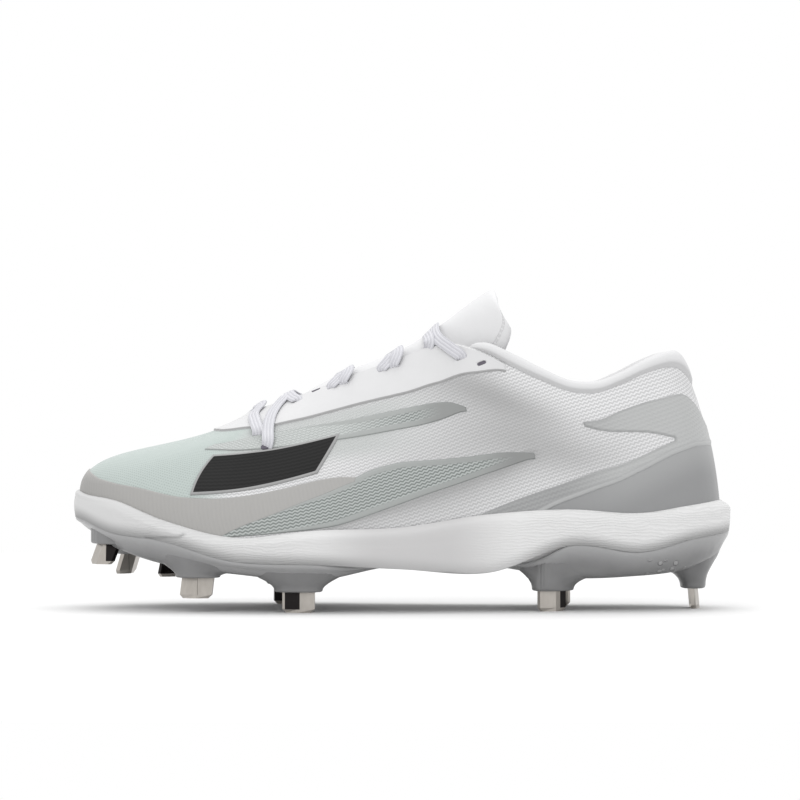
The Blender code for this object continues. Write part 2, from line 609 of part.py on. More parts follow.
def plate_middle(spots):
    """Spots on the plate, kept clear of its edge, with the height of the middle of the plate there."""
    a, depth = inside_edge(spots)
    margin = plate_inset(a) + POD_MARGIN
    moved = np.array(spots)
    moved[:, :2] -= outward(a) * np.maximum(margin - depth, 0.0)[:, None]
    share = (np.maximum(depth, margin) - plate_inset(a)) / TRAY_INSET
    floor = plate_floor(a)
    rows = np.linspace(0.0, 1.0, 161)
    bounds = []
    for rows_a in (rows, 2.0 - rows):
        flat_edge = inset_ring(rows_a, plate_inset(rows_a) + TRAY_INSET, plate_floor(rows_a))
        bounds.append([np.interp(moved[:, 0], flat_edge[:, 0], flat_edge[:, k]) for k in (1, 2)])
    (near_y, near_z), (far_y, far_z) = bounds
    across = np.clip((moved[:, 1] - near_y) / np.maximum(far_y - near_y, GAP), 0.0, 1.0)
    floor = np.where(share > 1.0, near_z + across * (far_z - near_z), floor)
    climb = plate_lip(a) - floor
    under = floor + climb * np.interp(share, PLATE_SHARES, PLATE_CLIMB)
    over = floor + PLATE_THICKNESS + (climb - PLATE_THICKNESS) * np.interp(share, (LIP_WIDTH / TRAY_INSET, 1.0), (1.0, 0.0))
    moved[:, 2] = np.minimum(0.5 * (under + over), under + 0.5 * PLATE_THICKNESS)
    return moved


def spike_frame(row):
    """A spike's place, directions along its width and thickness, lean, tip, root and top heights."""
    spike = dict(zip(SPIKE_COLUMNS, row))
    w = math.acos(1.0 - 2.0 * spike["along"]) / math.pi
    lateral, medial = outline(np.array([w, 2.0 - w]))
    x, y = 0.5 * (lateral + medial + spike["across"] * (medial - lateral))
    turn = math.radians(spike["turn"])
    width = np.array([math.cos(turn), math.sin(turn), 0.0])
    depth = np.array([math.sin(turn), -math.cos(turn), 0.0])
    lean = np.array([spike["lean_x"], spike["lean_y"], 0.0])
    tip = spike["tip"] * TOE_SPRING
    root = tip + SPIKE_LENGTH
    reach = np.array([-1.0, 0.0, 1.0])[:, None] * 0.5 * SPIKE_WIDTH * width
    spots = np.array([x, y, 0.0]) - lean * SPIKE_LENGTH + reach
    lowest = plate_middle(spots)[:, 2].min()
    top = min(root + SPIKE_ROOT, lowest + 0.5 * PLATE_THICKNESS - POCKET_ROOF)
    return spike, np.array([x, y, tip]), width, depth, lean, root, top


def blade_grids(row, grow, low):
    """Front and back grids of a spike's bent blade, grown on every side by grow, from height low."""
    spike, tip, width, depth, lean, root, top = spike_frame(row)
    half = 0.5 * SPIKE_WIDTH + grow
    heights = [low, max(low + 0.01, tip[2] + SPIKE_CORNER), top + grow]
    shares = [1.0 - SPIKE_CORNER / half, 1.0, 1.0]
    if grow:
        heights = [low, 0.5 * (low + top), top + grow]
        shares = [1.0, 1.0, 1.0]
    front = []
    back = []
    for side in (-1.0, 0.0, 1.0):
        bend = (1.0 - abs(side)) * SPIKE_BEND
        front_row = []
        back_row = []
        for z, share in zip(heights, shares):
            base = tip - lean * (z - tip[2]) + width * side * half * share
            base[2] = z
            front_row.append(base + depth * (bend + 0.5 * SPIKE_THICKNESS + grow))
            back_row.append(base + depth * (bend - 0.5 * SPIKE_THICKNESS - grow))
        front.append(front_row)
        back.append(back_row)
    return np.array(front), np.array(back)


def make_spikes(plate):
    """The steel spikes, and on the plate a pod round each with a pocket for it."""
    pods = []
    pockets = []
    for row in SPIKE_ROWS:
        spike, tip, width, depth, lean, root, top = spike_frame(row)
        front, back = blade_grids(row, 0.0, tip[2])
        shell(spike["name"], front, back, "spike_steel")
        turns = np.linspace(0, 2 * math.pi, POD_SIDES, endpoint=False)[:, None]
        middle = tip - lean * SPIKE_LENGTH + depth * 0.4 * SPIKE_BEND
        rings = []
        for climb, (wider, spread) in zip((0.0, POD_CLIMB), POD_ROWS):
            half_long = (spike["pod_end"] + wider) * SPIKE_WIDTH + POD_WALL * (1.0 - climb)
            offsets = half_long * (np.cos(turns) * width - spread * np.sin(turns) * depth)
            ring = middle + kept_inside(middle, offsets, 0.0)
            inside_plate = plate_middle(ring)[:, 2]
            end = np.minimum(min(root, top - POD_GRIP), inside_plate - 0.5 * PLATE_THICKNESS - POD_SKIN)
            ring[:, 2] = end + climb * (inside_plate - end)
            rings.append(ring)
        half_long = spike["pod_base"] * SPIKE_WIDTH
        offsets = half_long * (np.cos(turns) * width - POD_FOOT_DEPTH * np.sin(turns) * depth)
        offsets = kept_inside(middle, offsets, POD_MARGIN)
        rings += [plate_middle(middle + share * offsets) for share in POD_FOOT_SHARES]
        pods.append(solid(f"pod_{spike['name']}", *drum(rings), cutter=True))
        front, back = blade_grids(row, SLOT_GAP, rings[0][:, 2].min() - POCKET_REACH)
        pockets.append(shell(f"pocket_{spike['name']}", front, back, cutter=True))
    for pod in pods:
        cut_or_join(plate, pod, "UNION")
    for pocket in pockets:
        cut_or_join(plate, pocket, "DIFFERENCE")


def make_insole():
    """Loose sock liner on the foam, inside the wall."""
    a = AROUND
    inset = FEATHER_INSET + UPPER_WALL + INSOLE_CLEAR + np.zeros_like(a)
    bottom = footbed(a) + GAP
    rings = [
        inset_ring(a, inset + 1.2, bottom + INSOLE_THICKNESS),
        inset_ring(a, inset, bottom + INSOLE_THICKNESS - 1.2),
        inset_ring(a, inset, bottom),
    ]
    return layered("insole", rings, "lining_grey")


def make_upper():
    """The textile wall, open underneath, at the throat and at the collar."""
    v = np.linspace(0.0, 1.0, WALL_ROWS + 1)
    a, v = np.meshgrid(AROUND, v, indexing="ij")
    outer = skin(a, v)
    inner = on_skin(a, v, -UPPER_WALL + 0.0 * a)
    return shell("upper", outer, inner, "knit_white", closed=True)


def make_collar():
    """Padded roll over the top edge and down inside, thinning to its front ends."""
    rows = table(COLLAR_ROWS, COLLAR_COLUMNS)
    a = np.linspace(COLLAR_START, 2.0 - COLLAR_START, COLLAR_STEPS + 1)
    w = side_share(a)
    full = 0.35 + 0.65 * smooth(COLLAR_START, COLLAR_FULL, w)
    deep = 0.55 + 0.45 * smooth(COLLAR_START, COLLAR_FULL, w)
    roll = ROLL_HEIGHT * np.maximum(level(UPPER, "roll", a), 0.16)
    run = np.linalg.norm(skin(a, 1.0 + 0 * a) - skin(a, 0.99 + 0 * a), axis=-1) * 100
    grids = []
    for side in ("foot", "wall"):
        columns = []
        for depth_share, height_share in zip(rows[side + "_depth"], rows[side + "_height"]):
            beyond = max(depth_share - COLLAR_BACK, 0.0) * full + min(depth_share, COLLAR_BACK)
            depth = beyond * COLLAR_PAD * np.ones_like(a)
            if height_share >= 0:
                up = skin(a, 1.0 + 0 * a) - skin(a, 0.98 + 0 * a)
                up /= np.linalg.norm(up, axis=-1, keepdims=True)
                height = height_share * roll if side == "foot" else height_share * 8.0 + 0 * a
                base = skin(a, 1.0 + 0 * a) + up * height[:, None]
                normal = skin_normal(a, 0.995 + 0 * a)
            else:
                v = 1.0 + height_share * COLLAR_DEPTH * deep / run
                base = skin(a, v)
                normal = skin_normal(a, v)
            columns.append(base - normal * depth[:, None])
        grids.append(np.stack(columns, axis=1))
    return shell("collar_padding", grids[0], grids[1], "padding_white")


def tongue_surface(u, c):
    """The tongue's top face at u, along it from 0 to 1, and c, across from -1 lateral to 1 medial."""
    rows = table(TONGUE_ROWS, TONGUE_COLUMNS)
    knots = np.linspace(0, 1, len(TONGUE_ROWS))
    base = footbed(np.array([0.45]))[0]
    bow = (1 - np.cos(TONGUE_ARC * c)) / (1 - math.cos(TONGUE_ARC))
    value = {name: smooth_interp(knots, rows[name], u) for name in TONGUE_COLUMNS}
    x = LENGTH * (value["centre_x"] + (value["edge_x"] - value["centre_x"]) * bow)
    z = base + INSTEP_HEIGHT * (value["centre_z"] + (value["edge_z"] - value["centre_z"]) * bow)
    side = value["half_width"] * np.sin(TONGUE_ARC * c) / math.sin(TONGUE_ARC)
    y = 0.5 * COLLAR_WIDTH * (value["middle"] + side)
    return np.stack([x, y, z], axis=-1)


def smooth_interp(knots, values, u):
    """Smooth curve through values at knots."""
    slopes = np.gradient(values, knots)
    row = np.clip(np.searchsorted(knots, u, side="right") - 1, 0, len(knots) - 2)
    step = knots[row + 1] - knots[row]
    t = (u - knots[row]) / step
    start = (2 * t**3 - 3 * t**2 + 1) * values[row] + (t**3 - 2 * t**2 + t) * step * slopes[row]
    end = (3 * t**2 - 2 * t**3) * values[row + 1] + (t**3 - t**2) * step * slopes[row + 1]
    return start + end


def tongue_normal(u, c):
    """Unit normal of the tongue's top face."""
    step = 0.004
    along = tongue_surface(u + step, c) - tongue_surface(u - step, c)
    across = tongue_surface(u, c + step) - tongue_surface(u, c - step)
    normal = np.cross(along, across)
    return normal / np.linalg.norm(normal, axis=-1, keepdims=True)


def make_tongue():
    """Padded flap under the throat, thicker over the free end."""
    u, c = np.meshgrid(np.linspace(0, 1, TONGUE_STEPS + 1), np.linspace(-1, 1, TONGUE_ACROSS + 1), indexing="ij")
    rows = table(TONGUE_ROWS, TONGUE_COLUMNS)
    knots = np.linspace(0, 1, len(TONGUE_ROWS))
    thickness = TONGUE_THICKNESS * np.interp(u, knots, rows["thickness"])
    thickness *= 1.0 - 0.45 * np.abs(c) ** 4
    outer = tongue_surface(u, c)
    inner = outer - tongue_normal(u, c) * thickness[..., None]
    return shell("tongue", outer, inner, "smooth_white")


def make_overlays():
    """Eyestay, toe rand, heel counter, films and side panels, all laid on the upper's outer face."""
    a = np.linspace(-EYESTAY_EDGE[-1][0], EYESTAY_EDGE[-1][0], 43)
    overlay("eyestay", "smooth_white", a, edge_curve(EYESTAY_EDGE, np.abs(a)), 0.985 + 0 * a, 3)
    a = np.linspace(-RAND_EDGE[-1][0], RAND_EDGE[-1][0], 27)
    overlay("toe_rand", "film_grey", a, above_rim(a), edge_curve(RAND_EDGE, np.abs(a)), 3)
    make_counter()
    for side, sign in (("lateral", 1.0), ("medial", -1.0)):
        w = np.linspace(FILM_HIGH_TOP[0][0], FILM_HIGH_TOP[-1][0], 15)
        low, high = edge_curve(FILM_HIGH_LOW, w), edge_curve(FILM_HIGH_TOP, w)
        if sign < 0:
            w, low, high = -w[::-1], low[::-1], high[::-1]
        overlay(f"film_high_{side}", "film_pale", w, low, high, 2)
        w = np.linspace(FILM_LOW_TOP[0][0], FILM_LOW_TOP[-1][0], 17)
        low = np.maximum(edge_curve(FILM_LOW_LOW, w), above_rim(w * sign))
        high = edge_curve(FILM_LOW_TOP, w)
        if sign < 0:
            w, low, high = -w[::-1], low[::-1], high[::-1]
        overlay(f"film_low_{side}", "film_pale", w, low, high, 3)
        corners = np.array(PANEL_CORNERS)
        p, q = np.meshgrid(np.linspace(0, 1, 9), np.linspace(0, 1, 6), indexing="ij")
        p, q = p[..., None], q[..., None]
        spot = (1 - q) * ((1 - p) * corners[0] + p * corners[1]) + q * ((1 - p) * corners[2] + p * corners[3])
        if sign < 0:
            spot = spot[::-1]
        overlay_grid(f"side_panel_{side}", "panel_dark", sign * spot[..., 0], spot[..., 1])


def make_counter():
    """Swallow-tailed cup round the heel."""
    forward = np.concatenate([
        np.linspace(COUNTER_TAIL, COUNTER_FINGER, 8)[:-1],
        np.linspace(COUNTER_FINGER, COUNTER_FORK, 8)[:-1],
        np.linspace(COUNTER_FORK, 1.0, 9),
    ])
    a = np.concatenate([forward, 2.0 - forward[-2::-1]])
    w = side_share(a)
    low = above_rim(a)
    notch_low = np.maximum(edge_curve(COUNTER_NOTCH_LOW, w), low + 0.02)
    notch_high = np.maximum(edge_curve(COUNTER_NOTCH_HIGH, w), notch_low + 0.02)
    top = np.maximum(edge_curve(COUNTER_TOP, w), notch_high + 0.02)
    v = np.stack([
        low, low + (notch_low - low) / 3, low + (notch_low - low) * 2 / 3, notch_low,
        notch_high, 0.5 * (notch_high + top), top,
    ], axis=1)
    cell_w = side_share(0.5 * (a[1:] + a[:-1]))
    keep = np.ones((len(a) - 1, 6), bool)
    keep[cell_w < COUNTER_FORK, 3] = False
    keep[cell_w < COUNTER_FINGER, 4:] = False
    overlay_grid("heel_counter", "film_grey", np.repeat(a[:, None], 7, axis=1), v, keep)


def lace_path(start, end, lift):
    """Middle line, normals and width directions of a lace from a lateral slot to a medial one."""
    count = LACE_STEPS
    off = GAP + OVERLAY_THICKNESS + LACE_CLEAR + lift
    reach = np.array([EYELET_REACH, 0.5 * (1 + EYELET_REACH), 1.0])
    near = on_skin(start + 0 * reach, reach, off + 0 * reach)
    far = on_skin(2.0 - end + 0 * reach, reach, off + 0 * reach)[::-1]
    middle = 0.5 * (near[-1] + far[0])
    centre_line = tongue_surface(np.linspace(0, 1, 121), np.zeros(121))
    crown = np.interp(middle[0], centre_line[:, 0], centre_line[:, 2]) + off
    middle[2] = max(crown, middle[2] + 0.8)
    stations = np.concatenate([near, [middle], far])
    runs = np.concatenate([[0], np.cumsum(np.linalg.norm(np.diff(stations, axis=0), axis=1))])
    spots = np.linspace(0, runs[-1], count)
    line = np.stack([smooth_interp(runs, stations[:, k], spots) for k in range(3)], axis=1)
    ahead = np.gradient(line, axis=0)
    ahead /= np.linalg.norm(ahead, axis=1, keepdims=True)
    uphill = topline(np.array([0.5])) - topline(np.array([0.3]))
    uphill[:, 1] = 0
    width = -uphill - ahead * (-uphill * ahead).sum(axis=1, keepdims=True)
    width /= np.linalg.norm(width, axis=1, keepdims=True)
    normal = np.cross(ahead, width)
    return line, normal, width


def ribbon(name, line, normal, width, slot, cutter=False):
    """A flat lace along a line."""
    half = 0.5 * LACE_WIDTH * width
    up = LACE_THICKNESS * normal
    outer = np.stack([line - half + up, line + half + up], axis=1)
    inner = np.stack([line - half, line + half], axis=1)
    return shell(name, outer, inner, slot, cutter=cutter)


def make_laces():
    """A bar at the front, and behind it the crossed laces and the top bar, joined in one solid."""
    line, normal, width = lace_path(EYELETS[0], EYELETS[0], 0.0)
    ribbon("lace_bar_front", line, normal, width, "lace_grey")
    laces = None
    for front, back in zip(EYELETS[1:-1], EYELETS[2:]):
        for start, end, lift in ((front, back, 0.0), (back, front, LACE_OVERLAP * LACE_THICKNESS)):
            line, normal, width = lace_path(start, end, lift)
            if laces is None:
                laces = ribbon("laces", line, normal, width, "lace_grey")
            else:
                strand = ribbon(f"strand_{start}_{end}", line, normal, width, None, cutter=True)
                cut_or_join(laces, strand, "UNION")
    line, normal, width = lace_path(EYELETS[-1], EYELETS[-1], 0.5 * LACE_OVERLAP * LACE_THICKNESS)
    cut_or_join(laces, ribbon("strand_top", line, normal, width, None, cutter=True), "UNION")


for leftover in list(bpy.data.objects):
    bpy.data.objects.remove(leftover, do_unlink=True)
SHOE = bpy.data.collections.new("baseball_cleat")
bpy.context.scene.collection.children.link(SHOE)
CUTTERS = bpy.data.collections.new("cutters")
bpy.context.scene.collection.children.link(CUTTERS)
AROUND = np.linspace(0.0, 2.0, 2 * SEGMENTS, endpoint=False)

make_spikes(make_plate())
make_midsole()
make_insole()
make_upper()
make_collar()
make_tongue()
make_overlays()
make_laces()
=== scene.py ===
# %% [markdown]
# # A baseball cleat, dressed
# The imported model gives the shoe's solids in their true places. This script gives every one of
# them its finish: knit, film, foam, moulded plate, laces and steel. It works in metres. The toe
# points to -X, the outer (lateral) side faces -Y, and the floor is at z = 0.

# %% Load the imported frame
import math

import bpy
import numpy as np
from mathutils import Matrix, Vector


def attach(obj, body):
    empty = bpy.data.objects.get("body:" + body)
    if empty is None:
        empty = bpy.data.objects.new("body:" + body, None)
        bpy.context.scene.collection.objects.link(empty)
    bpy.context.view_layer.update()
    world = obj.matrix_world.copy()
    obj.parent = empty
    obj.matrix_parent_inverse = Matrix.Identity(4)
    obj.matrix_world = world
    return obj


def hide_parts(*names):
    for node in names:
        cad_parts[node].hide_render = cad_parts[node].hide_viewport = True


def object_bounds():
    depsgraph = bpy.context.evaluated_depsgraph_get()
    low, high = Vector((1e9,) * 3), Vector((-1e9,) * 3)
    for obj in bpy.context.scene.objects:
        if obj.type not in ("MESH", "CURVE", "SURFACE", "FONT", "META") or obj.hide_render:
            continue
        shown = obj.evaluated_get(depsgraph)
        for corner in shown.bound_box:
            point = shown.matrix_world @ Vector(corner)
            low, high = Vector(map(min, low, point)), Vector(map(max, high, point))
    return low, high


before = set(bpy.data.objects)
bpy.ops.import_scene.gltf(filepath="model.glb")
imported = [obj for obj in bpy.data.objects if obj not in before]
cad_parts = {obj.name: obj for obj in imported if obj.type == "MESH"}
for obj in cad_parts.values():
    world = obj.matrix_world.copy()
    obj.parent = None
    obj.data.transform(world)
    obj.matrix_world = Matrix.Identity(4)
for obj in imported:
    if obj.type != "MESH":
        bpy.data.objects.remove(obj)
cad_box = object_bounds()
MM = 0.001
box_in_mm = [round(float(side) / MM, 1) for corner in cad_box for side in corner]
print("nodes:", len(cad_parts), "box:", box_in_mm)

# %% [markdown]
# ## The last
# Every layer of the shoe follows one shape, the last. A place round the shoe is one number, a: 0
# at the toe, 1 at the heel by the outer side, 2 at the toe again by the inner side. The tables
# repeat the part's own, a row for each section, with lengths as shares of the named sizes.

# %% Sizes of the sole and the upper, in millimetres
LENGTH = 298.0
BALL_WIDTH = 102.0
HEEL_WIDTH = 74.0
SPIKE_LENGTH = 9.1
SPIKE_WIDTH = 14.4
POD_DROP = 5.9
TOE_SPRING = 21.0
PLATE_THICKNESS = 2.8
HEEL_FOAM = 14.0
RIM_DEPTH = 15.0
WRAP_HEIGHT = 14.4
INSTEP_HEIGHT = 93.0
HEEL_HEIGHT = 79.0
COLLAR_WIDTH = 63.0
FEATHER_INSET = 4.6
PLATE_EDGE_INSET = 1.6
UPPER_WALL = 2.2
COLLAR_PAD = 7.0
COLLAR_DEPTH = 24.0
ROLL_HEIGHT = 16.0
TONGUE_THICKNESS = 3.4
GAP = 0.3
TRAY_INSET = 9.0
WAIST_INSET = 13.0
WAIST_SHARES = (0.42, 0.50, 0.59, 0.67)

# %% The sole's sections
SOLE_COLUMNS = ("w", "ball", "lateral", "medial", "rise", "foam", "rim", "edge")
SOLE_ROWS = (
    (0.000, 1.0, 0.137, 0.137, 1.000, 0.300, 0.700, 0.347),
    (0.083, 1.0, -0.176, 0.431, 0.881, 0.450, 0.600, 0.451),
    (0.167, 1.0, -0.549, 0.735, 0.538, 0.743, 0.620, 0.576),
    (0.250, 1.0, -0.794, 0.902, 0.262, 0.657, 0.513, 0.750),
    (0.333, 1.0, -0.953, 0.994, 0.095, 0.479, 0.467, 0.410),
    (0.417, 1.0, -1.000, 0.947, -0.029, 0.521, 0.807, 0.486),
    (0.500, 1.0, -0.931, 0.780, 0.238, 0.264, 0.767, -0.042),
    (0.583, 0.5, -0.943, 0.786, 0.238, 0.479, 0.927, -0.167),
    (0.667, 0.1, -1.010, 0.922, 0.000, 0.979, 0.947, 1.000),
    (0.750, 0.0, -0.995, 0.968, 0.033, 1.000, 0.767, 0.743),
    (0.833, 0.0, -0.824, 0.824, 0.143, 0.907, 0.900, 0.958),
    (0.917, 0.0, -0.459, 0.473, 0.333, 0.657, 0.993, 0.847),
    (1.000, 0.0, 0.014, 0.014, 0.429, 0.514, 1.007, 0.764),
)

# %% The upper's sections
UPPER_COLUMNS = (
    "w", "x", "lateral", "medial", "instep", "heel", "roll", "up_low", "out_low", "out_top", "down_top",
)
UPPER_ROWS = (
    (0.000, 0.279, 0.095, 0.095, 0.505, 0.000, 0.000, 0.390, 0.122, 0.366, 0.258),
    (0.083, 0.281, -0.063, 0.254, 0.508, 0.000, 0.000, 0.386, 0.112, 0.355, 0.254),
    (0.167, 0.292, -0.175, 0.365, 0.555, 0.000, 0.000, 0.372, 0.056, 0.301, 0.226),
    (0.250, 0.319, -0.270, 0.444, 0.660, 0.000, 0.000, 0.355, 0.032, 0.237, 0.172),
    (0.333, 0.359, -0.349, 0.492, 0.766, 0.000, 0.000, 0.323, 0.022, 0.172, 0.129),
    (0.417, 0.426, -0.444, 0.540, 0.874, 0.000, 0.000, 0.312, 0.016, 0.140, 0.145),
    (0.500, 0.507, -0.556, 0.603, 0.946, 0.000, 0.000, 0.301, 0.016, 0.113, 0.177),
    (0.542, 0.547, -0.635, 0.667, 0.978, 0.000, 0.094, 0.301, 0.016, 0.086, 0.204),
    (0.567, 0.574, -0.714, 0.746, 0.980, 0.000, 0.250, 0.301, 0.016, 0.075, 0.215),
    (0.600, 0.622, -0.841, 0.873, 0.741, 0.218, 0.330, 0.301, 0.016, 0.054, 0.237),
    (0.633, 0.668, -0.921, 0.937, 0.505, 0.396, 0.390, 0.280, 0.022, 0.043, 0.226),
    (0.667, 0.713, -0.984, 0.984, 0.308, 0.543, 0.345, 0.258, 0.022, 0.038, 0.215),
    (0.700, 0.752, -1.000, 1.000, 0.143, 0.675, 0.312, 0.258, 0.022, 0.032, 0.215),
    (0.733, 0.792, -0.978, 0.978, 0.000, 0.832, 0.312, 0.269, 0.027, 0.032, 0.226),
    (0.767, 0.829, -0.921, 0.921, 0.000, 0.877, 0.312, 0.280, 0.032, 0.032, 0.237),
    (0.800, 0.862, -0.835, 0.835, 0.000, 0.927, 0.344, 0.280, 0.032, 0.032, 0.237),
    (0.833, 0.891, -0.714, 0.714, 0.000, 0.956, 0.406, 0.280, 0.032, 0.043, 0.237),
    (0.875, 0.912, -0.571, 0.571, 0.000, 0.956, 0.469, 0.290, 0.032, 0.054, 0.226),
    (0.917, 0.927, -0.413, 0.413, 0.000, 0.918, 0.688, 0.290, 0.012, 0.062, 0.215),
    (0.958, 0.938, -0.216, 0.216, 0.000, 0.865, 0.906, 0.301, -0.008, 0.066, 0.194),
    (1.000, 0.942, 0.000, 0.000, 0.000, 0.843, 1.012, 0.301, -0.012, 0.070, 0.177),
)


def table(rows, names):
    """A table's columns by name."""
    return {name: np.array([row[place] for row in rows]) for place, name in enumerate(names)}


SOLE = table(SOLE_ROWS, SOLE_COLUMNS)
UPPER = table(UPPER_ROWS, UPPER_COLUMNS)
print("sections:", len(SOLE_ROWS), "of the sole,", len(UPPER_ROWS), "of the upper")


# %% Smooth curves through a table
def round_trip(knots, lateral, medial, a):
    """Smooth closed curve through a value a row, back along one side and forward along the other.

    Between two rows it is a cubic, whose slope at a row is that of the parabola through the
    row and its two neighbours.
    """
    times = np.concatenate([knots, 2.0 - knots[-2:0:-1]])
    values = np.concatenate([lateral, medial[-2:0:-1]])
    steps = np.diff(np.append(times, 2.0))
    steps_before = np.roll(steps, 1)
    after = np.roll(values, -1)
    slopes = (after - values) / steps
    tangents = (np.roll(slopes, 1) * steps + slopes * steps_before) / (steps + steps_before)
    tangents_after = np.roll(tangents, -1)
    a = np.mod(a, 2.0)
    row = np.clip(np.searchsorted(times, a, side="right") - 1, 0, len(times) - 1)
    t = (a - times[row]) / steps[row]
    start = (2 * t**3 - 3 * t**2 + 1) * values[row] + (t**3 - 2 * t**2 + t) * steps[row] * tangents[row]
    end = (3 * t**2 - 2 * t**3) * after[row] + (t**3 - t**2) * steps[row] * tangents_after[row]
    return start + end


def level(chart, name, a):
    """A column that is the same on both sides, at a."""
    return round_trip(chart["w"], chart[name], chart[name], a)


def smooth(low, high, value):
    """Rises smoothly from 0 at low to 1 at high."""
    t = np.clip((value - low) / (high - low), 0.0, 1.0)
    return t * t * (3 - 2 * t)


def through(knots, values, u):
    """Smooth curve through values at knots: a cubic a stretch, its slopes from the neighbours."""
    knots = np.asarray(knots, float)
    values = np.asarray(values, float)
    slopes = np.gradient(values, knots, axis=0)
    u = np.asarray(u, float)
    row = np.clip(np.searchsorted(knots, u, side="right") - 1, 0, len(knots) - 2)
    step = knots[row + 1] - knots[row]
    t = (u - knots[row]) / step
    if values.ndim > 1:
        step, t = step[..., None], t[..., None]
    start = (2 * t**3 - 3 * t**2 + 1) * values[row] + (t**3 - 2 * t**2 + t) * step * slopes[row]
    end = (3 * t**2 - 2 * t**3) * values[row + 1] + (t**3 - t**2) * step * slopes[row + 1]
    return start + end


def side_share(a):
    """w at a: the share of the way from toe to heel, on either side."""
    return 1.0 - np.abs(np.mod(a, 2.0) - 1.0)


# %% The sole's outline and heights
def outline(a):
    """Widest outline from above. x is a cosine of a, so the ends are round, and y is the table's."""
    ball = level(SOLE, "ball", a)
    half_width = 0.5 * (ball * BALL_WIDTH + (1 - ball) * HEEL_WIDTH)
    y = half_width * round_trip(SOLE["w"], SOLE["lateral"], SOLE["medial"], a)
    return np.stack([-0.5 * LENGTH * np.cos(math.pi * a), y], axis=-1)


def outward(a):
    """Level direction out of the shoe: the outline's direction turned by a quarter."""
    step = 0.004
    along = outline(a + step) - outline(a - step)
    across = np.stack([along[..., 1], -along[..., 0]], axis=-1)
    return across / np.linalg.norm(across, axis=-1, keepdims=True)


def inset_ring(a, inset, z):
    """Points inside the outline by inset, at height z."""
    flat = outline(a) - outward(a) * (np.asarray(inset) + 0.0 * a)[..., None]
    return np.concatenate([flat, (z + np.zeros_like(a))[..., None]], axis=-1)


def plate_floor(a):
    """Height of the plate's underside."""
    return SPIKE_LENGTH + POD_DROP + TOE_SPRING * level(SOLE, "rise", a)


def footbed(a):
    """Height of the foam under the foot."""
    return plate_floor(a) + PLATE_THICKNESS + HEEL_FOAM * level(SOLE, "foam", a)


def rim_height(a):
    """Height of the foam's rim, where it meets the upper."""
    return footbed(a) + RIM_DEPTH * level(SOLE, "rim", a)


def foam_edge(a):
    """Height at which the side turns from foam to plate."""
    return plate_floor(a) + WRAP_HEIGHT * level(SOLE, "edge", a)


def waist(a):
    """1 where the plate is drawn in under the arch, 0 elsewhere."""
    w = side_share(a)
    drawn_in, let_out = smooth(*WAIST_SHARES[:2], w), smooth(*WAIST_SHARES[2:], w)
    return drawn_in * (1 - let_out)


def plate_inset(a):
    """How far the plate's edge lies inside the outline."""
    return PLATE_EDGE_INSET + WAIST_INSET * waist(a)


def plate_lip(a):
    """Height of the plate's upper edge."""
    drawn_in = waist(a)
    return foam_edge(a) * (1 - drawn_in) + (plate_floor(a) + PLATE_THICKNESS) * drawn_in


# %% The upper's skin
def topline(a):
    """The upper's top edge round throat and collar."""
    x = LENGTH * (level(UPPER, "x", a) - 0.5)
    y = 0.5 * COLLAR_WIDTH * round_trip(UPPER["w"], UPPER["lateral"], UPPER["medial"], a)
    rise = INSTEP_HEIGHT * level(UPPER, "instep", a) + HEEL_HEIGHT * level(UPPER, "heel", a)
    return np.stack([x, y, footbed(a) + rise], axis=-1)


def skin(a, v):
    """Outer face of the upper: at each a, a cubic Bezier curve from the foam (v = 0) to the top (v = 1)."""
    a, v = np.broadcast_arrays(np.asarray(a, float), np.asarray(v, float))
    out = np.concatenate([outward(a), np.zeros(a.shape + (1,))], axis=-1)
    up = np.array([0.0, 0.0, 1.0])
    handle = {name: INSTEP_HEIGHT * level(UPPER, name, a)[..., None] for name in UPPER_COLUMNS[7:]}
    foot = inset_ring(a, FEATHER_INSET, footbed(a) + GAP)
    low = foot + out * handle["out_low"] + up * handle["up_low"]
    top = topline(a)
    high = top + out * handle["out_top"] - up * handle["down_top"]
    v = v[..., None]
    return (1 - v) ** 3 * foot + 3 * v * (1 - v) ** 2 * low + 3 * v**2 * (1 - v) * high + v**3 * top


def skin_normal(a, v):
    """Unit normal of the skin: across its two directions, by small steps."""
    step = 0.002
    along = skin(a + step, v) - skin(a - step, v)
    climb = skin(a, v + step) - skin(a, v - step)
    normal = np.cross(along, climb)
    return normal / np.linalg.norm(normal, axis=-1, keepdims=True)


def on_skin(a, v, lift):
    """Points off the skin by lift, outward."""
    return skin(a, v) + skin_normal(a, v) * np.asarray(lift)[..., None]


def skin_share(a, z):
    """v at which the skin first reaches height z."""
    shares = np.linspace(0.0, 0.6, 121)
    heights = np.maximum.accumulate(skin(a[:, None], shares[None, :])[..., 2], axis=1)
    return np.array([np.interp(goal, row, shares) for goal, row in zip(z, heights)])


MAP_W = np.linspace(0.0, 1.0, 401)
MAP_V = 0.3  # v at which the run from the toe is measured
MAP_STEPS = np.linalg.norm(np.diff(skin(MAP_W, MAP_V + 0 * MAP_W), axis=0), axis=-1)
MAP_RUN = np.concatenate([[0.0], np.cumsum(MAP_STEPS)])


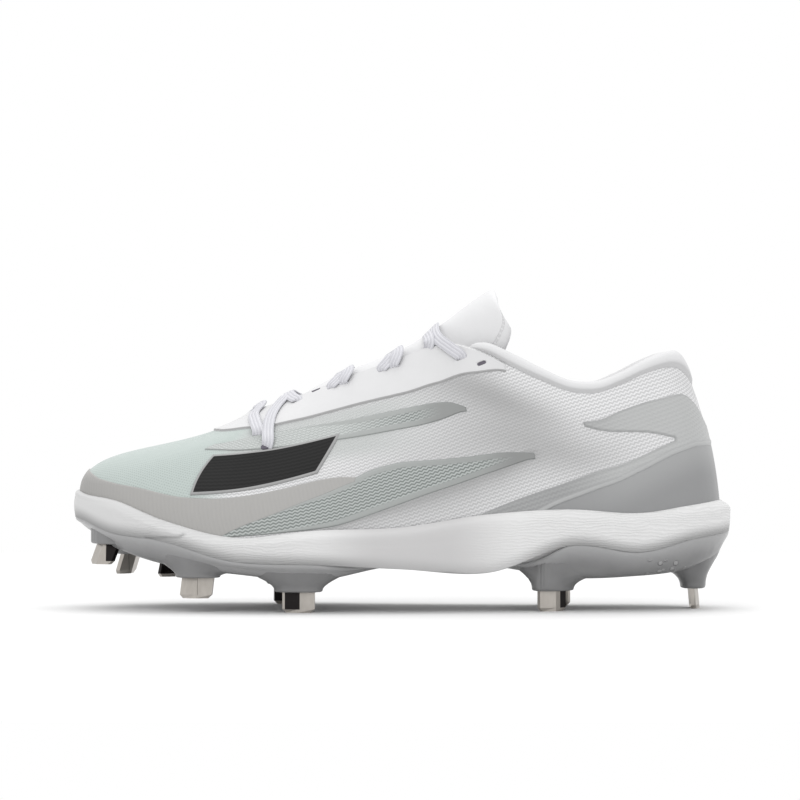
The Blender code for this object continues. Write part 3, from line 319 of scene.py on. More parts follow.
def skin_map(a, v):
    """The skin laid flat, in metres: run from the toe along either side, and climb from the foam."""
    run = np.interp(side_share(a), MAP_W, MAP_RUN)
    shares = np.linspace(0.0, 1.0, 41)
    ring = np.linspace(0.0, 2.0, 161)
    lengths = np.linalg.norm(np.diff(skin(ring[:, None], shares[None, :]), axis=1), axis=-1)
    climbs = np.concatenate([np.zeros((len(ring), 1)), np.cumsum(lengths, axis=1)], axis=1)
    spot = np.mod(a, 2.0) / 2.0 * (len(ring) - 1)
    left = np.clip(spot.astype(int), 0, len(ring) - 2)
    height = np.clip(v, 0.0, 1.0) * (len(shares) - 1)
    low = np.clip(height.astype(int), 0, len(shares) - 2)
    fa, fv = spot - left, height - low
    climb = (1 - fa) * ((1 - fv) * climbs[left, low] + fv * climbs[left, low + 1])
    climb = climb + fa * ((1 - fv) * climbs[left + 1, low] + fv * climbs[left + 1, low + 1])
    return np.stack([run, climb], axis=-1) * MM


print("skin runs", round(float(MAP_RUN[-1])), "mm from toe to heel")


# %% [markdown]
# ## Making a mesh from a formula
# Each new piece is a surface over two numbers, worked out for a whole grid at once. A thin layer is
# a grid with a second grid under it and a strip round the border, so that it is a closed solid. Its
# places on the flattened skin go into a UV map, in metres, for the patterns of cloth and film.

# %% Grids to closed meshes
MAP_NAME = "skin"


def piece(name, points, faces, material, maps=None, marks=None):
    """A smooth mesh object from points in millimetres and one or more arrays of faces.

    Points that no face uses are left out. maps is a pair of map coordinates a point, and marks
    holds values a point, by name.
    """
    parts = faces if isinstance(faces, list) else [faces]
    used = np.unique(np.concatenate([part.ravel() for part in parts]))
    corners = []
    for part in parts:
        corners += np.searchsorted(used, part).tolist()
    mesh = bpy.data.meshes.new(name)
    mesh.from_pydata((np.asarray(points)[used] * MM).tolist(), [], corners)
    if maps is not None:
        owner = np.empty(len(mesh.loops), dtype=np.int32)
        mesh.loops.foreach_get("vertex_index", owner)
        layer = mesh.uv_layers.new(name=MAP_NAME)
        layer.data.foreach_set("uv", np.asarray(maps)[used][owner].astype(np.float32).ravel())
    for mark, values in (marks or {}).items():
        attribute = mesh.attributes.new(mark, "FLOAT", "POINT")
        attribute.data.foreach_set("value", np.asarray(values, dtype=np.float32).ravel()[used])
    mesh.polygons.foreach_set("use_smooth", np.ones(len(mesh.polygons), dtype=bool))
    mesh.materials.append(material)
    mesh.update()
    made = bpy.data.objects.new(name, mesh)
    bpy.context.scene.collection.objects.link(made)
    print(f"{name}: {len(mesh.polygons)} faces")
    return made


def grid_faces(rows, columns, wrap_rows=False, wrap_columns=False):
    """Four-cornered faces of a grid, whose points are numbered row by row."""
    last_row = rows if wrap_rows else rows - 1
    last_column = columns if wrap_columns else columns - 1
    r, c = np.meshgrid(np.arange(last_row), np.arange(last_column), indexing="ij")
    below, right = (r + 1) % rows, (c + 1) % columns
    corners = [r * columns + c, below * columns + c, below * columns + right, r * columns + right]
    return np.stack(corners, axis=-1).reshape(-1, 4)


def sandwich(faces, count):
    """Closes a sheet: its faces, the same ones turned over on points count later, and a border strip."""
    edges = np.concatenate([faces[:, [k, (k + 1) % 4]] for k in range(4)])
    keys = np.sort(edges, axis=1)
    _, first, times = np.unique(keys, axis=0, return_index=True, return_counts=True)
    border = edges[first[times == 1]]
    strip = np.stack([border[:, 1], border[:, 0], border[:, 0] + count, border[:, 1] + count], axis=1)
    return np.concatenate([faces, faces[:, ::-1] + count, strip])


# %% [markdown]
# ## Shader sums
# A pattern is a formula too. The class below stands for a value that changes over a surface, so a
# rib or a knitted row is written as a sum of waves, and every sum adds its Math node by itself.


# %% Values that vary over a surface
class Field:
    """A shader value that can be added and multiplied like a number. Each sum adds a Math node."""

    def __init__(self, tree, socket):
        """Keeps a node tree and the output socket that gives the value."""
        self.tree = tree
        self.socket = socket

    @staticmethod
    def node(tree, kind, settings=None, inputs=None, output=0):
        """One output of a new node. Its settings are set first, then its sockets get values or links."""
        made = tree.nodes.new(kind)
        for key, value in (settings or {}).items():
            setattr(made, key, value)
        for key, value in (inputs or {}).items():
            if isinstance(value, Field):
                tree.links.new(value.socket, made.inputs[key])
            else:
                made.inputs[key].default_value = value
        return Field(tree, made.outputs[output])

    def math(self, operation, *others):
        """A Math node on this value and others."""
        inputs = dict(enumerate((self, *others)))
        return Field.node(self.tree, "ShaderNodeMath", {"operation": operation}, inputs)

    def __add__(self, other):
        """This value and another, added."""
        return self.math("ADD", other)

    __radd__ = __add__

    def __mul__(self, other):
        """This value times another."""
        return self.math("MULTIPLY", other)

    def __sub__(self, other):
        """This value less another."""
        return self.math("SUBTRACT", other)

    def __rsub__(self, other):
        """A number less this value."""
        return self * -1.0 + other

    def wave(self, pitch):
        """Rises and falls between 0 and 1, once a pitch, as a sine."""
        return (self * (2 * math.pi / pitch)).math("SINE") * 0.5 + 0.5

    def zigzag(self, pitch):
        """Rises and falls between 0 and 1 in straight lines, once a pitch."""
        return (self * (1.0 / pitch)).math("PINGPONG", 0.5) * 2.0

    def step(self, low, high):
        """0 up to low and 1 from high on, smooth between them."""
        settings = {"interpolation_type": "SMOOTHSTEP"}
        return Field.node(self.tree, "ShaderNodeMapRange", settings, {0: self, 1: low, 2: high})

    def band(self, middle, half, soft):
        """1 within half of middle, 0 farther than half + soft."""
        return 1.0 - (self - middle).math("ABSOLUTE").step(half, half + soft)

    def blend(self, first, second):
        """The colour first where this is 0 and second where it is 1.

        A Mix node takes its two colours at sockets 6 and 7, and gives the blend at output 2.
        """
        inputs = {0: self, 6: first, 7: second}
        return Field.node(self.tree, "ShaderNodeMix", {"data_type": "RGBA"}, inputs, 2)


def mark(tree, name):
    """The values of a piece's mark, from 0 up, one a point."""
    return Field.node(tree, "ShaderNodeAttribute", {"attribute_name": name}, output="Fac")


def map_place(tree):
    """Run and climb on the flattened skin, in millimetres, from the UV map."""
    spot = Field.node(tree, "ShaderNodeUVMap", {"uv_map": MAP_NAME})
    parts = Field.node(tree, "ShaderNodeSeparateXYZ", inputs={0: spot})
    climb = Field(tree, parts.socket.node.outputs[1])
    return parts * (1 / MM), climb * (1 / MM)


def object_places(tree):
    """x, y and z on the shoe, in millimetres."""
    spot = Field.node(tree, "ShaderNodeTexCoord", output="Object")
    parts = Field.node(tree, "ShaderNodeSeparateXYZ", inputs={0: spot})
    return [Field(tree, parts.socket.node.outputs[place]) * (1 / MM) for place in range(3)]


def grain(tree, size, detail=2.0, stretch=(1.0, 1.0, 1.0)):
    """Noise between 0 and 1 on Object coordinates, with spots of size millimetres."""
    spot = Field.node(tree, "ShaderNodeTexCoord", output="Object")
    spot = Field.node(tree, "ShaderNodeMapping", inputs={"Vector": spot, "Scale": stretch})
    inputs = {"Vector": spot, "Scale": 1 / (size * MM), "Detail": detail}
    return Field.node(tree, "ShaderNodeTexNoise", inputs=inputs)


def finish(name, paint, metallic=0.0, coat=0.0, fuzz=0.0, shine=0.5):
    """A material. paint, given its node tree, returns its colour, roughness and height in millimetres."""
    material = bpy.data.materials.new(name)
    material.use_nodes = True
    tree = material.node_tree
    body = tree.nodes["Principled BSDF"]
    colour, roughness, height = paint(tree)
    body.inputs["Metallic"].default_value = metallic
    body.inputs["Coat Weight"].default_value = coat
    body.inputs["Sheen Weight"].default_value = fuzz
    body.inputs["Specular IOR Level"].default_value = shine
    for socket, value in (("Base Color", colour), ("Roughness", roughness)):
        if isinstance(value, Field):
            tree.links.new(value.socket, body.inputs[socket])
        else:
            body.inputs[socket].default_value = value
    if height is not None:
        inputs = {"Height": height, "Distance": MM, "Strength": 1.0}
        bump = Field.node(tree, "ShaderNodeBump", inputs=inputs)
        tree.links.new(bump.socket, body.inputs["Normal"])
    return material


def grey(level, warm=0.0, cool=0.0):
    """A near-grey colour of that level, a little redder by warm or bluer by cool."""
    return (level * (1 + warm), level, level * (1 - warm + cool), 1.0)


# %% [markdown]
# ## Where the overlays lie
# The edges of the films, the counter and the eyestay are drawn on the skin as short tables, the
# same on both sides. The knit's painted shadow under the low finger follows them too.

# %% Outlines of the overlays, as (w, v)
EYESTAY_EDGE = (
    (0.000, 0.825), (0.080, 0.825), (0.205, 0.765), (0.280, 0.716), (0.360, 0.722),
    (0.435, 0.738), (0.505, 0.740), (0.560, 0.762), (0.600, 0.862), (0.624, 0.945),
)
EYESTAY_TOP = 0.988
RAND_TOP = (
    (0.000, 0.260), (0.050, 0.235), (0.100, 0.200), (0.150, 0.190), (0.200, 0.205), (0.250, 0.212),
    (0.300, 0.248), (0.350, 0.306), (0.400, 0.362), (0.430, 0.382), (0.450, 0.368),
)
BAND_LOW = (
    (0.000, 0.000), (0.300, 0.010), (0.338, 0.130), (0.395, 0.255), (0.435, 0.325), (0.450, 0.352),
)
FILM_HIGH_TOP = (
    (0.212, 0.600), (0.280, 0.660), (0.358, 0.668), (0.428, 0.662), (0.492, 0.668), (0.545, 0.666),
    (0.562, 0.659), (0.572, 0.647), (0.576, 0.636),
)
FILM_HIGH_LOW = (
    (0.212, 0.545), (0.273, 0.535), (0.367, 0.558), (0.427, 0.560), (0.478, 0.566), (0.531, 0.572),
    (0.560, 0.594), (0.571, 0.614), (0.576, 0.630),
)
FILM_LOW_TOP = (
    (0.306, 0.050), (0.338, 0.140), (0.395, 0.265), (0.435, 0.335), (0.460, 0.395), (0.495, 0.420),
    (0.540, 0.409), (0.573, 0.412), (0.610, 0.462), (0.642, 0.498),
)
FILM_LOW_LOW = (
    (0.306, 0.030), (0.323, 0.070), (0.380, 0.115), (0.438, 0.150), (0.482, 0.210), (0.517, 0.255),
    (0.568, 0.306), (0.603, 0.370), (0.642, 0.470),
)
COUNTER_TOP = (
    (0.712, 0.780), (0.760, 0.822), (0.820, 0.802), (0.883, 0.815), (0.920, 0.796), (0.945, 0.755),
    (0.965, 0.705), (0.985, 0.672), (1.000, 0.665),
)
COUNTER_NOTCH_HIGH = ((0.712, 0.752), (0.780, 0.645), (0.812, 0.590), (0.832, 0.555), (1.000, 0.555))
COUNTER_NOTCH_LOW = (
    (0.560, 0.120), (0.600, 0.195), (0.640, 0.280), (0.715, 0.445), (0.780, 0.500), (0.812, 0.525),
    (0.832, 0.545), (1.000, 0.545),
)
COUNTER_RIDGE = (
    (0.600, 0.060), (0.657, 0.230), (0.708, 0.335), (0.760, 0.410), (0.825, 0.480), (1.000, 0.560),
)
COUNTER_ENDS = (0.562, 0.832)  # w at the tip of its lower tail, and where the fork closes
PANEL_CORNERS = ((0.264, 0.235), (0.405, 0.400), (0.243, 0.500), (0.420, 0.596))
RIM_COVER = 2.0  # how far the overlays reach down behind the foam's rim


# %% [markdown]
# ## The knit of the upper
# The quarter is a white engineered knit, with fine zigzag rows that climb to the rear, and the toe
# box a pale mesh with dots. Modelling each thread would take millions of faces, so the wall is one
# smooth closed shell, and the threads are bump and shade from formulas on the flattened skin.

# %% Creases of the cloth
# w and v of each crease's middle, its half length and half width in w and v, and its height in
# millimetres: the vamp's flex lines behind the toe box, and slack over the quarter and the heel
CREASES = (
    (0.250, 0.66, 0.030, 0.110, -0.35),
    (0.315, 0.60, 0.020, 0.160, 0.30),
    (0.455, 0.52, 0.030, 0.140, -0.30),
    (0.560, 0.45, 0.035, 0.200, 0.35),
    (0.640, 0.62, 0.030, 0.160, -0.40),
    (0.700, 0.55, 0.025, 0.180, 0.25),
    (0.860, 0.60, 0.030, 0.160, 0.25),
)
CREASE_LEAN = 0.12  # how far, in w a v, a crease leans to the rear as it climbs


def slack(a, v):
    """Height of the cloth's soft creases over the skin: a sum of smooth bells, the same on both sides."""
    a, v = np.broadcast_arrays(a, v)
    w = side_share(a)
    height = np.zeros(w.shape)
    for crease_w, crease_v, long_w, long_v, rise in CREASES:
        lean = CREASE_LEAN * (v - crease_v)
        height += rise * np.exp(-(((w - crease_w - lean) / long_w) ** 2) - ((v - crease_v) / long_v) ** 2)
    return height * smooth(0.0, 0.2, v) * (1 - smooth(0.85, 1.0, v))


def cloth(a, v, lift):
    """Points off the creased cloth by lift, outward."""
    return on_skin(a, v, lift + slack(a, v))


# %% The knit's material
KNIT_SLANT = math.radians(15)  # climb of the knitted rows to the rear
ROW_PITCH = 1.65
STITCH_PITCH = 2.1
DOT_PITCH = 1.25
KNIT_WHITE = grey(0.81, cool=0.01)
KNIT_SHADE = grey(0.50, cool=0.01)
KNIT_PAINTED_SHADE = grey(0.30)
KNIT_TINT = (0.435, 0.455, 0.445, 1.0)
TOE_PALE = (0.44, 0.495, 0.475, 1.0)
TOE_SHADE = (0.28, 0.32, 0.305, 1.0)
LINING = grey(0.45)


def paint_knit(tree):
    """Zigzag rows on the quarter, greyed as painted shade, a grid of dots on the toe box, plain lining
    inside.
    """
    run, climb = map_place(tree)
    along = run * math.cos(KNIT_SLANT) + climb * math.sin(KNIT_SLANT)
    across = climb * math.cos(KNIT_SLANT) - run * math.sin(KNIT_SLANT)
    rows = (across + along.zigzag(STITCH_PITCH) * (0.45 * ROW_PITCH)).wave(ROW_PITCH)
    ribs = along.wave(STITCH_PITCH * 0.5)
    quarter = rows * (0.75 + ribs * 0.25)
    dots = run.wave(DOT_PITCH) * climb.wave(DOT_PITCH)
    toe = mark(tree, "toe")
    inside = mark(tree, "inside")
    fuzz = grain(tree, 0.5)
    white = (quarter * 0.9 + fuzz * 0.1).blend(KNIT_SHADE, KNIT_WHITE)
    pale = (dots.step(0.55, 0.85) * 0.7).blend(TOE_PALE, TOE_SHADE)
    # Painted shade: the knit greys where less light falls on it.
    white = (mark(tree, "painted_shade") * 0.85).blend(white, KNIT_PAINTED_SHADE)
    white = (mark(tree, "tint") * (0.6 + quarter * 0.3)).blend(white, KNIT_TINT)
    colour = inside.blend(toe.blend(white, pale), LINING)
    height = toe * (dots * -0.10) + (1.0 - toe) * quarter * 0.16 + fuzz * 0.03
    return colour, 0.82, height


KNIT = finish("white_knit", paint_knit, fuzz=0.15)

# %% The wall as one closed shell
# Painted shade in the white knit, where less light falls: w and v of the middle, half length, half width,
# strength
PAINTED_SHADES = (
    (0.520, 0.300, 0.110, 0.220, 0.50),
    (0.650, 0.540, 0.110, 0.160, 0.80),
    (0.600, 0.760, 0.090, 0.120, 0.85),
    (0.940, 0.900, 0.080, 0.080, 0.25),
)
TINT_W = (0.18, 0.26, 0.44, 0.56)  # w between which the pale tint under the eyestay comes and goes
TINT_V = (0.42, 0.52, 0.70, 0.76)
# Painted shadow along under the low finger: its fall, the w it spans, its lap and its depth
SHADOW_FALL = 0.055  # fall, in v, of the shade that runs along under the low finger
SHADOW_W = (0.37, 0.43, 0.60, 0.66)
SHADOW_LAP = 0.05  # how far, in v, that shade reaches up under the finger
SHADOW_DEPTH = 0.75


def between(places, value):
    """Rises from 0 to 1 over the first two places and falls back over the last two."""
    return smooth(places[0], places[1], value) * (1 - smooth(places[2], places[3], value))


WALL_STEPS = 600
OUTER_ROWS = 96
INNER_ROWS = 14
TOE_ENDS = (0.235, 0.300)  # w over which the toe box's mesh turns into the quarter's knit
TOE_LEAN = 0.10  # how far, in w a v, that border comes forward as it climbs


def knit_wall():
    """For each a, a loop: up the outer face, over the top edge, down the inner face and back under."""
    rise = np.linspace(0.0, 1.0, OUTER_ROWS)
    fall = np.linspace(0.995, 0.0, INNER_ROWS)
    shares = np.concatenate([rise, fall])
    depth = np.concatenate([0.0 * rise, 0.0 * fall - UPPER_WALL])
    depth[OUTER_ROWS - 1] = -0.5 * UPPER_WALL
    a, v = np.meshgrid(np.linspace(0.0, 2.0, WALL_STEPS, endpoint=False), shares, indexing="ij")
    points = cloth(a, v, np.broadcast_to(depth, a.shape))
    count = len(shares)
    faces = grid_faces(WALL_STEPS, count, wrap_rows=True, wrap_columns=True)
    w = side_share(a)
    edge = w + TOE_LEAN * (v - 0.5)
    # Painted shade: grey bells where less light falls on the knit.
    painted_shade = sum(
        amount * np.exp(-(((w - at_w) / long_w) ** 2) - ((v - at_v) / long_v) ** 2)
        for at_w, at_v, long_w, long_v, amount in PAINTED_SHADES
    )
    # Painted shadow along under the low finger, fading down the knit.
    under = np.interp(w, *zip(*FILM_LOW_LOW)) - v
    fade = np.exp(-np.maximum(under, 0.0) / SHADOW_FALL) * (under > -SHADOW_LAP)
    painted_shade = painted_shade + SHADOW_DEPTH * between(SHADOW_W, w) * fade
    marks = {
        "painted_shade": np.clip(painted_shade, 0.0, 1.0),
        "tint": between(TINT_W, w) * between(TINT_V, v),
        "toe": 1 - smooth(TOE_ENDS[0], TOE_ENDS[1], edge),
        "inside": np.broadcast_to(np.arange(count) >= OUTER_ROWS, a.shape),
    }
    maps = skin_map(a.ravel(), v.ravel())
    return piece("upper_knit", points.reshape(-1, 3), faces, KNIT, maps, marks)


upper_knit = knit_wall()
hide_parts("upper")
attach(upper_knit, "root")


# %% [markdown]
# ## Films and overlays
# Thin moulded films are welded on the knit: a rand round the toe, two long fingers on each side, a
# forked counter at the heel and the eyestay. They could be painted on the knit, but would have no
# edge, or be strips shrunk onto it, whose borders wander with their grid. So each is the stretch of
# cloth inside an outline, raised by its thickness. The distance to the outline rounds the film's
# edge, and the shader reads it too.

# %% Distances to an outline
SINK = -0.35  # lift of a film's border, just under the knit, in millimetres
FILM_EDGE = (-0.30, 0.45)  # distances to the outline between which the border rises
FILM_HIDE = -1.2  # distance past which no film is made
FILM_UNDER = -0.9  # lift of a film's hidden inner face
# Steps round the shoe and up it, of each film's grid
STAY_GRID = (720, 100)
RAND_GRID = (560, 50)
COUNTER_GRID = (560, 110)
FINGER_GRID = (360, 44)
PANEL_GRID = (170, 84)
# How far each film stands off the cloth
STAY_THICKNESS = 0.85
RAND_THICKNESS = 0.55
COUNTER_THICKNESS = 0.75
FINGER_THICKNESS = 0.50
PANEL_THICKNESS = 0.75
BLOCK = 20000  # points whose distances are worked out at a time


def edge_line(rows, w):
    """A curve through a table of (w, v), with its corners rounded: the mean over a short stretch."""
    table_w, table_v = zip(*rows)
    spread = np.linspace(-0.012, 0.012, 9)
    places = np.clip(np.asarray(w)[..., None] + spread, table_w[0], table_w[-1])
    return np.interp(places, table_w, table_v).mean(axis=-1)


def distance(points, line):
    """Least distance from each point to a line's points, which lie close together.

    It is worked out from squares: |p - q| squared is |p| squared - 2 p.q + |q| squared.
    """
    centre = line.mean(axis=0)
    p, q = points - centre, line - centre
    nearest = np.empty(len(p), dtype=int)
    for start in range(0, len(p), BLOCK):
        block = p[start:start + BLOCK]
        nearest[start:start + BLOCK] = np.argmin((q**2).sum(axis=1) - 2 * block @ q.T, axis=1)
    best = np.full(len(p), np.inf)
    for shift in (-1, 0):
        first = q[(nearest + shift) % len(q)]
        span = q[(nearest + shift + 1) % len(q)] - first
        share = ((p - first) * span).sum(axis=1) / np.maximum((span**2).sum(axis=1), 1e-12)
        near = first + np.clip(share, 0.0, 1.0)[:, None] * span
        best = np.minimum(best, np.linalg.norm(p - near, axis=1))
    return best


def there_and_back(line):
    """An open line as a closed one, so that its ends aren't joined."""
    return np.concatenate([line, line[::-1]])


def film(name, material, replaced, grid, border, inside, thickness, marks=None, extra=None):
    """A film on the cloth, over a grid of a and v, inside a border line of (a, v).

    Its lift goes from SINK to thickness over FILM_EDGE, and extra adds to it.
    """
    a, v = grid
    flat = cloth(a.ravel(), v.ravel(), 0.0 * a.ravel())
    edge = distance(flat, cloth(border[0], border[1], 0.0 * border[0]))
    edge = np.where(inside.ravel(), edge, -edge)
    lift = SINK + (thickness - SINK) * smooth(FILM_EDGE[0], FILM_EDGE[1], edge)
    if extra is not None:
        lift = lift + extra.ravel() * smooth(0.0, 1.2, edge)
    faces = grid_faces(*a.shape)
    faces = faces[(edge[faces] > FILM_HIDE).any(axis=1)]
    outer = cloth(a.ravel(), v.ravel(), lift)
    inner = cloth(a.ravel(), v.ravel(), FILM_UNDER + 0.0 * lift)
    maps = skin_map(a.ravel(), v.ravel())
    values = {"edge": edge}
    values.update({key: np.broadcast_to(value, a.shape).ravel() for key, value in (marks or {}).items()})
    twice = {key: np.concatenate([value, value]) for key, value in values.items()}
    points = np.concatenate([outer, inner])
    made = piece(name, points, sandwich(faces, a.size), material, np.concatenate([maps, maps]), twice)
    if replaced:
        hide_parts(*replaced)
    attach(made, "root")


def strip_grid(a, low, high, rows, margin=0.12):
    """A grid that follows a strip from low to high, and some way past both, closer near its edges."""
    t = np.linspace(-1.0, 1.0, rows)
    t = 0.5 + (0.5 + margin) * np.sin(0.5 * math.pi * t)
    pad = np.maximum(high - low, 0.03)
    middle = 0.5 * (low + high)
    v = middle[:, None] + pad[:, None] * (t - 0.5)
    return np.repeat(a[:, None], rows, axis=1), np.clip(v, 0.0, 0.998)


def strip_border(a, low, high):
    """The outline of a strip: forward along its low edge and back along its high edge."""
    return np.concatenate([a, a[::-1]]), np.concatenate([low, high[::-1]])


# %% [markdown]
# The films are urethane: smooth and satin, a little raised at the border. The long fingers are
# clear enough to show zigzag threads under them, so their paint repeats the rows with more contrast.

# %% Finishes of the films
FILM_LIGHT = (0.42, 0.445, 0.435, 1.0)
FILM_DARK = (0.155, 0.172, 0.165, 1.0)
FILM_BORDER = (0.33, 0.345, 0.338, 1.0)
FILM_TIP = (0.225, 0.23, 0.227, 1.0)
FILM_CLEAR = (0.50, 0.52, 0.51, 1.0)
RAND_WARM = (0.285, 0.28, 0.272, 1.0)
RAND_PALE = (0.350, 0.344, 0.334, 1.0)
RAND_LINE = grey(0.16)
COUNTER_GREY = (0.315, 0.318, 0.32, 1.0)
COUNTER_DARK = (0.245, 0.247, 0.25, 1.0)
RIDGE_LIGHT = (0.42, 0.426, 0.424, 1.0)
STAY_WHITE = grey(0.63, cool=0.01)
STAY_SHADE = grey(0.59, cool=0.01)
LINE_GREY = grey(0.26)
PANEL_BLACK = grey(0.010)
PANEL_ROWS = grey(0.03)
PANEL_TRIM = grey(0.33)
COUNTER_REAR = (68.0, 106.0)  # x over which the counter turns from dark at its tail to pale behind
# Painted shade of an open lace slot.
SLOT_PAINTED_SHADE = (0.11, 0.10, 0.125, 1.0)


def rows_of(tree, row_pitch, stitch_pitch, slant=KNIT_SLANT, swing=0.5):
    """Zigzag rows on the flattened skin, between 0 and 1: a wave across, shifted by a zigzag along."""
    run, climb = map_place(tree)
    along = run * math.cos(slant) + climb * math.sin(slant)
    across = climb * math.cos(slant) - run * math.sin(slant)
    return (across + along.zigzag(stitch_pitch) * (swing * row_pitch)).wave(row_pitch)


def paint_fingers(tree):
    """Zigzag rows under a clear film, and a plain border that widens and darkens towards the tip."""
    edge = mark(tree, "edge")
    rows = rows_of(tree, 1.5, 2.3, swing=0.45)
    tip = mark(tree, "tip")
    plain = (1.0 - (edge - mark(tree, "border")).step(-0.5, 0.6)).math("MAXIMUM", tip)
    field = rows.blend(FILM_DARK, FILM_LIGHT)
    field = (mark(tree, "clear") * 0.6).blend(field, FILM_CLEAR)
    border = (tip * 0.6 + mark(tree, "dim") * 0.4).blend(FILM_BORDER, FILM_TIP)
    colour = plain.blend(field, border)
    colour = (edge.band(0.1, 0.15, 0.25) * 0.45).blend(colour, FILM_DARK)
    height = (1.0 - plain) * rows * 0.12 + plain * 0.20
    return colour, 0.42, height


def paint_rand(tree):
    """Warm grey with faint slanting ribs, paler behind the toe, and a dark line at its lower edge."""
    run, climb = map_place(tree)
    ribs = (run + climb * 0.45).wave(1.9)
    pale = mark(tree, "pale")
    speckle = grain(tree, 6.0)
    colour = (pale * 0.8 + ribs * 0.12 + speckle * 0.08).blend(RAND_WARM, RAND_PALE)
    colour = (mark(tree, "edge").band(0.1, 0.15, 0.3) * mark(tree, "lined")).blend(colour, RAND_LINE)
    return colour, 0.48, ribs * 0.05


def paint_counter(tree):
    """Ribbed rows above the raised line, smooth grey that darkens towards the sole below it."""
    ridge = mark(tree, "ridge")
    rows = rows_of(tree, 1.9, 2.2, swing=0.3)
    above = ridge.step(0.3, 2.2)
    light = ridge.band(0.0, 0.5, 0.9)
    rear = object_places(tree)[0].step(*COUNTER_REAR)
    low = (ridge.step(-16.0, -1.0) * (rear * 0.8 + 0.2)).blend(COUNTER_DARK, COUNTER_GREY)
    colour = (above * (rear * 0.7 + 0.1 + rows * 0.3)).blend(low, RIDGE_LIGHT)
    colour = (light * 0.7).blend(colour, RIDGE_LIGHT)
    edge = mark(tree, "edge")
    colour = (edge.band(0.4, 0.3, 0.5) * 0.35).blend(colour, COUNTER_DARK)
    return colour, 0.40, above * rows * 0.12 + light * 0.35


def paint_stay(tree):
    """Smooth white, with a thin grey line just inside its lower edge, and lace slots in painted shade."""
    line = mark(tree, "hem").band(0.45, 0.25, 0.35)
    dust = grain(tree, 9.0)
    colour = (line * 0.8).blend(dust.blend(STAY_SHADE, STAY_WHITE), LINE_GREY)
    # Painted shade in the lace slots.
    colour = mark(tree, "slot").step(0.65, 1.0).blend(SLOT_PAINTED_SHADE, colour)
    return colour, 0.50, line * -0.15 + grain(tree, 0.45) * 0.02


def paint_panel(tree):
    """Black film with fine rows, and a thin grey trim."""
    edge = mark(tree, "edge")
    rows = rows_of(tree, 1.9, 2.4, swing=0.2)
    trim = edge.band(0.6, 0.45, 0.3)
    colour = trim.blend((rows * 0.35).blend(PANEL_BLACK, PANEL_ROWS), PANEL_TRIM)
    return colour, 0.38, rows * 0.05 + trim * 0.12


FINGERS = finish("finger_film", paint_fingers)
RAND = finish("rand_film", paint_rand)
COUNTER = finish("counter_film", paint_counter)
STAY = finish("eyestay_film", paint_stay)
PANEL = finish("dark_panel", paint_panel, shine=0.15)

# %% [markdown]
# The eyestay has small slots punched for the laces. A boolean cut would tear its even grid into
# thin faces. So the film sinks below the knit along a short line at each slot, and its paint turns
# dark there, as painted shade of the open slot. The lowest slot lies in a finger film, and is a dark
# oval patch of painted shade on it.

# %% Lace slots
SLOT_HALF = 1.25  # half the straight part of a slot
SLOT_ROUND = (0.5, 1.0)  # distances from its middle line between which the film sinks into it
SLOT_SINK = 0.65
SLOT_RISE = 0.38  # rise of a slot's line to the rear
# Places (w, v) of the slots in the eyestay, front to back. EMPTY_SLOTS hold no lace.
SECOND_SLOT, CROSS_SLOTS, TOP_SLOT = (0.312, 0.925), ((0.383, 0.404), (0.464, 0.482)), (0.577, 0.905)
CROSS_V = 0.938
EMPTY_SLOTS = ((0.352, 0.975), (0.598, 0.915))
STAY_SLOTS = (SECOND_SLOT, TOP_SLOT, *EMPTY_SLOTS, *((w, CROSS_V) for pair in CROSS_SLOTS for w in pair))


def slot_lines():
    """Points along the middle of each slot, on both sides: short lines that rise to the rear."""
    lines = []
    for w, v in STAY_SLOTS:
        for turn in (1.0, -1.0):
            place, share = np.array([turn * w]), np.array([v])
            spot = cloth(place, share, np.zeros(1))[0]
            normal = skin_normal(place, share)[0]
            ahead = np.array([1.0, 0.0, SLOT_RISE])
            ahead -= normal * (ahead @ normal)
            ahead /= np.linalg.norm(ahead)
            lines.append(spot + ahead * np.linspace(-SLOT_HALF, SLOT_HALF, 15)[:, None])
    return lines


# %% The lowest lace slot, in the film under the eyestay
LOW_SLOT = (0.319, 0.566)
LOW_SLOT_SIZE = (0.0095, 0.024)  # half its width and height, in w and v
HOLE_LIFT = 0.62  # lift of its dark patch, just over the film


def paint_hole_shade(tree):
    """Painted shade: dark, as an open slot is."""
    return SLOT_PAINTED_SHADE, 0.8, None


HOLE_SHADE = finish("slot_painted_shade", paint_hole_shade)


def make_low_slots():
    """A small dark oval of painted shade on each side, where the second lace comes up."""
    (w, v), (half_w, half_v) = LOW_SLOT, LOW_SLOT_SIZE
    turns = np.linspace(0.0, 2.0 * math.pi, 120, endpoint=False)
    for side, turn in (("lateral", 1.0), ("medial", -1.0)):
        reach = np.linspace(-1.5, 1.5, 60)
        across, up = np.meshgrid(reach, reach, indexing="ij")
        a, shares = turn * w + half_w * across, v + half_v * up
        border = turn * w + half_w * np.cos(turns), v + half_v * np.sin(turns)
        inside = across**2 + up**2 < 1.0
        film(f"low_slot_{side}", HOLE_SHADE, [], (a, shares), border, inside, HOLE_LIFT)


make_low_slots()

# %% Eyestay, rand and counter
BEAD_HEIGHT = 0.35  # height and half width of the counter's raised line
BEAD_HALF = 0.8
# The rand is paler over these w, and over these shares of its height
PALE_W = (0.03, 0.20)
PALE_RISE = (0.5, 1.0)
# Its lower edge has a dark line up to this share of its height, behind these w
LINED_RISE = (0.3, 0.6)
LINED_W = (0.27, 0.31)


def above_rim(a):
    """v where an overlay starts, a little behind the foam's rim."""
    return skin_share(a, rim_height(a) - RIM_COVER)


